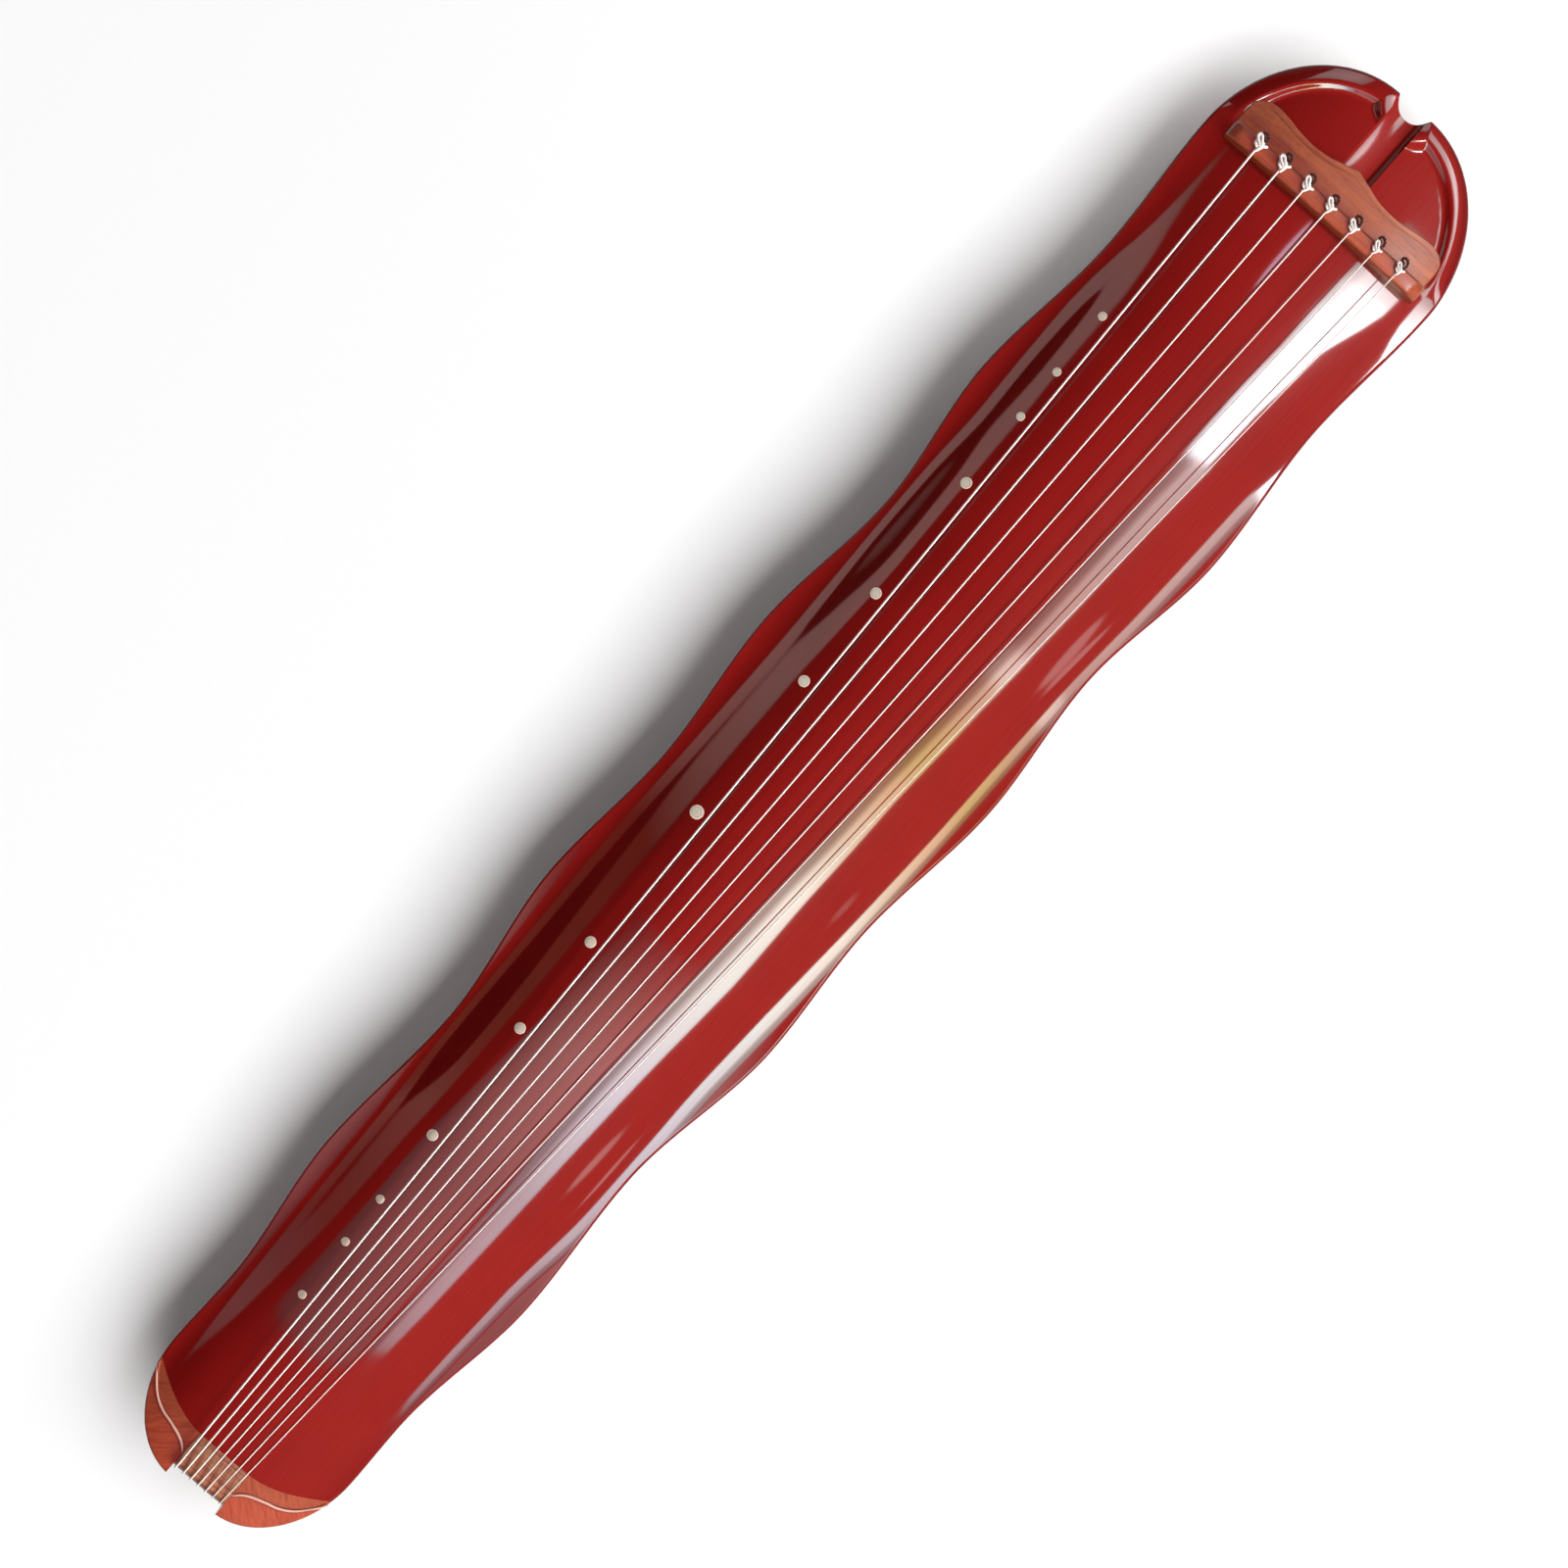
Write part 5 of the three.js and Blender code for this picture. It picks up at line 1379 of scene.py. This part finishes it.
class GUQIN_OT_crown(bpy.types.Operator):
    """Shapes the crown corners with their beads, the nut and the tail support"""
    bl_idname = "guqin.crown"
    bl_label = "Crown, nut and tail support"

    def execute(self, context):
        b = body()
        look = finishes()
        nut_wood = oiled_wood(
            "Sandalwood, planed across the grain", look.nut_wood, look.nut_dark, (0, 1, 0),
            ring=2.2, gloss=0.2, pores=0.75, fibre=0.7,
        )
        for name, side in SIDES:
            wood = oiled_wood(
                f"Padauk, carved and oiled, {name} side", look.crown, look.crown_dark,
                (0.66, side * -0.75, 0), ring=2.4, gloss=0.5, pores=0.3, fibre=0.7, bead_side=side,
            )
            corner = mesh_object("Tail_corner_" + name, [body_block()], wood)
            width = b.tail_half - b.crown_gap
            bead = [
                (-b.tail_reach + along * b.corner_length, b.crown_gap + across * width, 0)
                for along, across in BEAD_SHARES
            ]
            path = spline(bead, 8)
            z = top_height(np.array([p.x for p in path]), np.array([p.y for p in path]))
            lift, radius = 0.1 * MM, 1.2 * MM
            lifted = [(p.x, side * p.y, h + lift) for p, h in zip(path, z)]
            combine(corner, mesh_object("Bead", [tube(lifted, radius, 16)], wood), "UNION")
            plan = [(x, side * y) for x, y in tail_plan(b.crown_gap, b.half_width, 0)]
            seat = mesh_object("Seat", [prism(plan, tail_floor(), above_all())], wood)
            combine(corner, seat, "INTERSECT")
            settle(corner, ["crown_corner_" + name])
        settle(mesh_object("Nut", [self.nut()], nut_wood), ["nut"])
        support = mesh_object("Tail_support", [self.support()], nut_wood)
        settle(support, ["tail_support"])
        return {"FINISHED"}

    def nut(self):
        """Nut between the crown corners, rounded at the tail where the strings turn down."""
        b, f = body(), fittings()
        half = b.crown_gap - f.fit_gap
        rings = []
        for y in np.linspace(-half, half, 25):
            top = float(nut_top(y))
            section = [(f.nut_front, tail_floor()), (f.nut_front, float(arch(f.nut_front, y)))]
            for angle in quarter_turn(12):
                drop = NUT_ROUND * (1 - math.cos(angle))
                section.append((-f.nut_end * math.sin(angle), top - drop))
            section.append((-f.nut_end, tail_floor()))
            rings.append([(x, y, z) for x, z in section[::-1]])
        return loft(rings)

    def support(self):
        """Strip under the nut, rounded where the strings turn forward to the feet."""
        b, f = body(), fittings()
        half, low = b.crown_gap - f.fit_gap, b.underside - SUPPORT_PROUD
        front = SUPPORT_RUN - f.nut_end
        section = [(-f.nut_end, b.joint)]
        for angle in quarter_turn(12):
            section.append((
                SUPPORT_ROUND * (1 - math.cos(angle)) - f.nut_end,
                low + SUPPORT_ROUND * (1 - math.sin(angle)),
            ))
        section += [(front - SUPPORT_PROUD, low), (front, b.underside), (front, b.joint)]
        return loft([[(x, y, z) for x, z in section[::-1]] for y in np.linspace(-half, half, 9)])


class GUQIN_OT_bridge(bpy.types.Operator):
    """Shapes the bridge and the string-hole plate behind it"""
    bl_idname = "guqin.bridge"
    bl_label = "Bridge and plate"

    def execute(self, context):
        wood = rosewood("Rosewood, planed and oiled", (0, 1, 0))
        look = finishes()
        heart = oiled_wood(
            "Rosewood heartwood, rounded and oiled", look.bridge, look.bridge_dark, (0, 1, 0),
            ring=2.6, pores=0.35,
        )
        settle(mesh_object("Bridge", [self.bridge()], heart), ["bridge"])
        plate = mesh_object("String_hole_plate", [self.plate()], wood)
        holes = string_holes(plate_floor() - OVERCUT, above_all())
        combine(plate, mesh_object("Holes", holes, wood))
        settle(plate, ["string_hole_plate"])
        return {"FINISHED"}

    def bridge(self):
        """Bowed ridge with rounded long edges and both ends rounded over their last millimetre."""
        b, f = body(), fittings()
        half, lip, back = f.plate_half, f.bridge_lip, BRIDGE_THICKNESS - f.bridge_lip
        end = np.array([0, 0.15, 0.5, 1.0]) * MM
        places = np.concatenate([
            -half + end, np.linspace(-half + 2 * MM, half - 2 * MM, 60), half - end[::-1],
        ])
        rings = []
        for y in places:
            top = float(bridge_top(y))
            near = max(0, 1 - (half - abs(y)) / MM)
            inset = MM * (1 - math.sqrt(max(0, 1 - near ** 2)))
            section = rounded_profile([
                (-lip + inset, plate_floor(), 0), (back - inset, plate_floor(), 0),
                (back - inset, top - inset, 2.6 * MM), (-lip + inset, top - inset, 2.2 * MM),
            ])
            rings.append([(b.string_length + x, y, z) for x, z in section])
        return loft(rings)

    def plate(self):
        """Plate behind the bridge that follows the arch, with its upper edge rounded all round. Its
        steps are closer at the ends and edges, where the round is."""
        b, f = body(), fittings()
        start = b.string_length + BRIDGE_BACK + 0.35 * MM
        edge = np.array(plate_edge(0))
        half = np.concatenate([
            f.plate_half - np.array([0, 0.1, 0.3, 0.6, 1.0, 1.6, 2.4]) * MM,
            np.linspace(f.plate_half - 3.5 * MM, 0, 44),
        ])
        y = np.concatenate([-half, half[-2::-1]])
        reach = np.interp(np.abs(y), edge[::-1, 1], edge[::-1, 0])
        front = np.concatenate([
            np.array([0, 0.1, 0.3, 0.6, 1.0, 1.6]) * MM, np.linspace(2.5 * MM, 22 * MM, 10),
        ])
        back = np.array([6, 4, 2.5, 1.6, 1.0, 0.6, 0.3, 0.1, 0]) * MM
        wide = reach[None, :] - start
        part = np.concatenate([front / (26 * MM), 1 - back / (34 * MM)])
        x = start + wide * part[:, None]
        grid_y = np.broadcast_to(y[None, :], x.shape)
        loop = np.array(seat_plan(start, 0))
        nearest = np.full(x.shape, np.inf)
        for (ax, ay), (bx, by) in zip(loop, np.roll(loop, -1, axis=0)):
            rx, ry = bx - ax, by - ay
            # the last term keeps a side of no length from dividing by zero
            s = np.clip(((x - ax) * rx + (grid_y - ay) * ry) / (rx * rx + ry * ry + 1e-18), 0, 1)
            nearest = np.minimum(nearest, np.hypot(ax + s * rx - x, ay + s * ry - grid_y))
        size = 0.6 * MM
        near = np.maximum(0, 1 - nearest / size)
        z = arch(x, grid_y) + f.plate_proud - size * (1 - np.sqrt(np.maximum(0, 1 - near ** 2)))
        return block_under(x, grid_y, plate_floor(), z)


class GUQIN_OT_studs(bpy.types.Operator):
    """Lets the thirteen shell studs into the top"""
    bl_idname = "guqin.studs"
    bl_label = "Shell studs"

    def execute(self, context):
        shell = mother_of_pearl()
        for i in range(len(STUD_SHARES)):
            radius = stud_size(i) / 2
            # upright wall, a rounded edge, and a face that swells by 0.12 mm
            profile = [
                (radius, -1.8 * MM), (radius, -0.25 * MM), (radius - 0.07 * MM, -0.08 * MM),
                (radius - 0.25 * MM, 0.0),
            ]
            profile += [(radius * k, 0.12 * MM * (1 - k * k)) for k in (0.8, 0.55, 0.3, 0.05)]
            stud = mesh_object(f"Stud_{i + 1}", [turned_on(*stud_frame(i), profile)], shell)
            settle(stud, [f"stud_{i + 1}"])
        return {"FINISHED"}


class GUQIN_OT_strings(bpy.types.Operator):
    """Draws the seven strings from their knots over the nut to their windings on the feet"""
    bl_idname = "guqin.strings"
    bl_label = "Strings"

    def execute(self, context):
        thread = wound_string()
        for i in range(len(GAUGES)):
            parts = [tube(self.path(i), GAUGES[i] / 2, 14)]
            for points in self.knot(i):
                parts.append(tube(spline(points, 8), fittings().knot / 2 * self.knot_size(i), 12))
            string = mesh_object(f"String_{i + 1}", parts, thread, 60)
            settle(string, [f"string_{i + 1}"])
        return {"FINISHED"}

    def knot_size(self, i):
        """Size of a knot against the first string's."""
        return 1.0 - 0.045 * i

    def knot(self, i):
        """A fly-head knot: a lump of two crossing turns, a standing loop towards the head and the
        cut end towards the seventh string."""
        b = body()
        size = self.knot_size(i)
        # each knot is tied by hand, so none lies just like the next
        turn = math.radians(41 + 9 * math.sin(2.1 * i))
        low = float(bridge_top(bridge_y(i))) + 0.9 * MM
        centre = Vector((b.string_length + 6.6 * MM, bridge_y(i), low))

        def placed(points):
            spots = []
            for x, y, z in points:
                spots.append(centre + Vector((
                    (x * math.cos(turn) - y * math.sin(turn)) * size * MM,
                    (x * math.sin(turn) + y * math.cos(turn)) * size * MM, z * size * MM,
                )))
            return spots

        # millimetres from the centre
        lump = [
            (-3.4, 2.6, 0.2), (-2.6, 0.6, 0.8), (-1.0, -1.8, 1.6), (1.3, -1.9, 2.0),
            (2.2, 0.1, 1.6), (1.0, 2.1, 0.9), (-1.0, 2.0, 1.3), (-1.9, 0.2, 2.4),
            (-0.6, -1.5, 3.2), (1.4, -0.9, 3.3),
        ]
        loop = [
            (3.4, -1.2, 3.1), (5.6, -1.1, 3.0), (7.0, 0.0, 2.9), (6.1, 1.3, 2.9),
            (4.0, 1.5, 3.0), (1.8, 1.1, 3.0), (-0.2, 0.6, 3.1),
        ]
        end = [(-0.2, 0.6, 3.1), (-1.2, -0.8, 3.2), (-1.4, -2.6, 2.6), (-1.6, -4.2, 1.5)]
        turn_over = [(-0.6, 2.4, 2.2), (1.2, 3.0, 2.2), (2.4, 2.6, 1.6)]
        return [placed(lump + loop), placed(end), placed(turn_over)]

    def winding(self, i):
        """Side of the foot, height of the first turn and radius of the turns."""
        b, f = body(), fittings()
        gap = WINDING_GAP
        order = [3, 2, 1, 0] if i <= 3 else [4, 5, 6]
        z = b.underside - 2 * MM - gap - GAUGES[order[0]] / 2
        for one, two in zip(order, order[1:]):
            if one == i:
                break
            z -= 2 * (GAUGES[one] + gap) + (GAUGES[one] + GAUGES[two]) / 2 + 0.8 * MM
        return (1 if i <= 3 else -1), z, f.foot_neck + gap + GAUGES[i] / 2

    def path(self, i):
        """From behind the bridge over the nut, round the tail support and twice round the foot."""
        b, f = body(), fittings()
        off = f.fit_gap + GAUGES[i] / 2
        y = nut_y(i)
        side, start, radius = self.winding(i)
        bridge_z = float(bridge_top(bridge_y(i))) + off
        points = [(b.string_length + x, bridge_y(i), bridge_z) for x in (4.2 * MM, 0)]
        high = float(nut_top(y)) - NUT_ROUND
        for a in quarter_turn(12):
            z = high + (NUT_ROUND + off) * math.cos(a)
            points.append((-(f.nut_end + off) * math.sin(a), y, z))
        back = SUPPORT_ROUND - f.nut_end
        low = b.underside - SUPPORT_PROUD + SUPPORT_ROUND
        radius_off = SUPPORT_ROUND + off
        for a in quarter_turn(12):
            points.append((back - radius_off * math.cos(a), y, low - radius_off * math.sin(a)))
        to_foot = Vector((f.foot_place - points[-1][0], side * f.foot_half - y))
        heading = math.atan2(to_foot.y, to_foot.x) + side * math.asin(radius / to_foot.length)
        first = heading + side * math.pi / 2
        turns, steps = 2, 48
        for k in range(turns * steps + 1):
            angle = first - side * k / steps * 2 * math.pi
            points.append((
                f.foot_place + radius * math.cos(angle),
                side * f.foot_half + radius * math.sin(angle),
                start - k / steps * (GAUGES[i] + WINDING_GAP),
            ))
        end, before = Vector(points[-1]), Vector(points[-2])
        points.append(tuple(end + (end - before).normalized() * 5 * MM))
        return points


class GUQIN_OT_silk_loops(bpy.types.Operator):
    """Twists the silk loops from the knots down through the plate into the pegs"""
    bl_idname = "guqin.silk_loops"
    bl_label = "Silk loops"

    def execute(self, context):
        f = fittings()
        cord = twisted_silk()
        for i in range(len(GAUGES)):
            strands = twisted(self.path(i), f.silk, f.silk_pitch)
            piece = mesh_object(f"Silk_loop_{i + 1}", strands, cord, 60)
            settle(piece, [f"silk_loop_{i + 1}"])
        return {"FINISHED"}

    def path(self, i):
        """From the knot in a curl to the hole, and down it into the peg."""
        y = bridge_y(i)
        top = float(bridge_top(y))
        x = body().string_length
        curl = [
            (7.4, -0.4, 2.2), (9.8, -1.8, 3.0), (12.6, -1.6, 3.0), (14.8, 0.4, 2.4),
            (14.6, 2.6, 0.8), (13.2, 2.6, -2),
        ]
        points = [(x + along * MM, y + across * MM, top + up * MM) for along, across, up in curl]
        points.append((hole_x(), y + 0.5 * MM, top - 6 * MM))
        points += [(hole_x(), y, z) for z in (
            top - 9.5 * MM, top - 14 * MM, top - 20 * MM, peg_top() - 5 * MM,
        )]
        return spline(points, 10)


class GUQIN_OT_pegs(bpy.types.Operator):
    """Turns the seven pegs and lays the peg plate over their pool"""
    bl_idname = "guqin.pegs"
    bl_label = "Pegs and peg plate"

    def execute(self, context):
        across = rosewood("Rosewood, sawn flat", (0, 1, 0))
        upright = rosewood("Rosewood, turned and oiled", (0, 0, 1))
        slab = prism(pool_plan(0.6), pool_ceiling() - PEG_PLATE, pool_ceiling())
        plate = mesh_object("Peg_plate", [slab], across)
        holes = string_holes(pool_ceiling() - 6 * MM, pool_ceiling() + OVERCUT)
        combine(plate, mesh_object("Holes", holes, across))
        settle(plate, ["peg_plate"])
        for i in range(len(GAUGES)):
            x, y, top = hole_x(), bridge_y(i), peg_top()
            peg = mesh_object(f"Tuning_peg_{i + 1}", [self.peg(x, y)], upright, 40)
            # the silk goes in from above and out through a bore across the peg
            radius, low = 1.5 * MM, top - 13.5 * MM
            across_bore = loft([[
                (x + radius * math.cos(a), y + end, low + radius * math.sin(a))
                for a in whole_turn(24)
            ] for end in (-12 * MM, 12 * MM)])
            upright_bore = rod(x, y, 2.2 * MM, top - 15 * MM, top + OVERCUT)
            combine(peg, mesh_object("Bore", [upright_bore], upright))
            combine(peg, mesh_object("Bore", [across_bore], upright))
            settle(peg, [f"tuning_peg_{i + 1}"], f"tuning_peg_{i + 1}")
        return {"FINISHED"}

    def peg(self, x, y):
        """Collar, waisted neck and a grip with six rounded flutes."""
        low, top = 2.5 * MM, peg_top()
        run = top - low
        # height, radius in millimetres and depth of the flutes as a share of it
        stops = [
            (low, 2.6, 0.06), (low + 0.25 * MM, 3.4, 0.06), (low + 0.8 * MM, 4.2, 0.08),
            (low + run * 0.08, 6.1, 0.1), (low + run * 0.25, 7.1, 0.12),
            (low + run * 0.42, 7.85, 0.12), (low + run * 0.55, 8.1, 0.12),
            (low + run * 0.62, 7.8, 0.1), (low + run * 0.7, 6.7, 0.06),
            (low + run * 0.8, 5.5, 0), (top - 6 * MM, 5.5, 0), (top - 4 * MM, 5.9, 0),
            (top - 3.1 * MM, 7.4, 0), (top - 2.8 * MM, 8.0, 0), (top - 2.5 * MM, 8.2, 0),
            (top - 0.4 * MM, 8.2, 0), (top - 0.12 * MM, 8.1, 0), (top, 7.8, 0),
        ]
        heights, stop_radii, stop_flutes = zip(*stops)
        fine = np.unique(np.concatenate([heights, np.linspace(low, top - 6 * MM, 40)]))
        radii = np.interp(fine, heights, stop_radii)
        flutes = np.interp(fine, heights, stop_flutes)
        around = whole_turn(72)
        rings = []
        for z, radius, flute in zip(fine, radii, flutes):
            size = radius * MM * (1 - flute * (0.5 - 0.5 * np.cos(6 * around)))
            rings.append(np.column_stack([
                x + size * np.cos(around), y + size * np.sin(around), np.full(len(around), z),
            ]))
        return loft(rings)


class GUQIN_OT_guards(bpy.types.Operator):
    """Carves the two tapered guards beside the pegs"""
    bl_idname = "guqin.guards"
    bl_label = "Peg guards"

    def execute(self, context):
        b = body()
        wood = rosewood("Rosewood, carved upright", (0, 0, 1))
        # heights over the table and insets of the plan, in millimetres
        profile = [
            (0, 5.6), (0.35, 5.1), (1.2, 4.6), (3, 3.9), (9, 3.4), (16, 2.9), (24, 1.5), (30, 0.35),
            (31.6, 0.1), (32, 0.4),
        ]
        for name, side in SIDES:
            middle = side * GUARD_HALF
            rings = []
            for height, inset in profile:
                run, width = (44 - 2 * inset) * MM, (13 - inset) * MM
                plan = rounded_plan(hole_x(), middle, run, width, (13 - inset) * 0.33 * MM)
                rings.append(np.column_stack([np.array(plan), np.full(len(plan), height * MM)]))
            tenon = box(hole_x(), middle, 8 * MM, 8 * MM, 30 * MM, b.underside + 8 * MM)
            guard = mesh_object("Peg_guard_" + name, [loft(rings)], wood)
            combine(guard, mesh_object("Tenon", [tenon], wood), "UNION")
            settle(guard, ["peg_guard_" + name])
        return {"FINISHED"}


class GUQIN_OT_feet(bpy.types.Operator):
    """Turns the two goose feet that the strings wind round"""
    bl_idname = "guqin.feet"
    bl_label = "Goose feet"

    def execute(self, context):
        b, f = body(), fittings()
        wood = rosewood("Rosewood, turned and oiled", (0, 0, 1))
        neck = f.foot_neck / MM
        # radii and heights over the table, in millimetres
        profile = [(radius * MM, height * MM) for radius, height in (
            (0.3, 0), (8.6, 0), (9.5, 0.25), (10.2, 0.9), (10.5, 1.8), (10.5, 3.6), (10.2, 4.6),
            (9.4, 5.7), (8.7, 6.6), (neck, 7.4), (neck, 30.0), (9.0, 30.1), (11.1, 30.3),
            (11.45, 30.7), (11.5, 31.2), (11.5, 32), (0.3, 32),
        )]
        for name, side in SIDES:
            place = Vector((f.foot_place, side * f.foot_half, 0))
            shaft = turned_on(place, (1, 0, 0), (0, 1, 0), (0, 0, 1), profile, 64)
            foot = mesh_object("Goose_foot_" + name, [shaft], wood, 40)
            tenon = box(place.x, place.y, 10 * MM, 10 * MM, 30 * MM, b.joint + 10.7 * MM)
            combine(foot, mesh_object("Tenon", [tenon], wood), "UNION")
            settle(foot, ["goose_foot_" + name])
        return {"FINISHED"}


class GUQIN_OT_inner_pieces(bpy.types.Operator):
    """Gives the blocks and posts inside the body their bare fir"""
    bl_idname = "guqin.inner_pieces"
    bl_label = "Inner pieces"

    def execute(self, context):
        fir = sawn_fir()
        for name in ("foot_block_far", "foot_block_near", "sound_post_round", "sound_post_square"):
            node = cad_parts[name]
            node.data.materials.clear()
            node.data.materials.append(fir)
        return {"FINISHED"}


OPERATORS = (
    GUQIN_OT_stage, GUQIN_OT_soundboard, GUQIN_OT_bottom_board, GUQIN_OT_crown, GUQIN_OT_bridge,
    GUQIN_OT_studs, GUQIN_OT_strings, GUQIN_OT_silk_loops, GUQIN_OT_pegs, GUQIN_OT_guards,
    GUQIN_OT_feet, GUQIN_OT_inner_pieces,
)


class GUQIN_PT_panel(bpy.types.Panel):
    """Lists the pieces of the guqin, its sizes and its finishes"""
    bl_idname = "GUQIN_PT_panel"
    bl_label = "Guqin"
    bl_space_type = "VIEW_3D"
    bl_region_type = "UI"
    bl_category = "Guqin"

    def draw(self, context):
        column = self.layout.column()
        for operator in OPERATORS:
            column.operator(operator.bl_idname)
        for group in (body(), fittings(), finishes()):
            area = self.layout.box().column()
            for name in group.__annotations__:
                area.prop(group, name)


CLASSES = (GuqinBodySizes, GuqinFittingSizes, GuqinFinishes) + OPERATORS + (GUQIN_PT_panel,)


def register():
    for item in CLASSES:
        bpy.utils.register_class(item)
    bpy.types.Scene.guqin_body = bpy.props.PointerProperty(type=GuqinBodySizes)
    bpy.types.Scene.guqin_fittings = bpy.props.PointerProperty(type=GuqinFittingSizes)
    bpy.types.Scene.guqin_finishes = bpy.props.PointerProperty(type=GuqinFinishes)


def unregister():
    del bpy.types.Scene.guqin_body
    del bpy.types.Scene.guqin_fittings
    del bpy.types.Scene.guqin_finishes
    for item in reversed(CLASSES):
        bpy.utils.unregister_class(item)


def main():
    register()
    for operator in OPERATORS:
        group, name = operator.bl_idname.split(".")
        getattr(getattr(bpy.ops, group), name)()


if __name__ == "__main__":
    main()
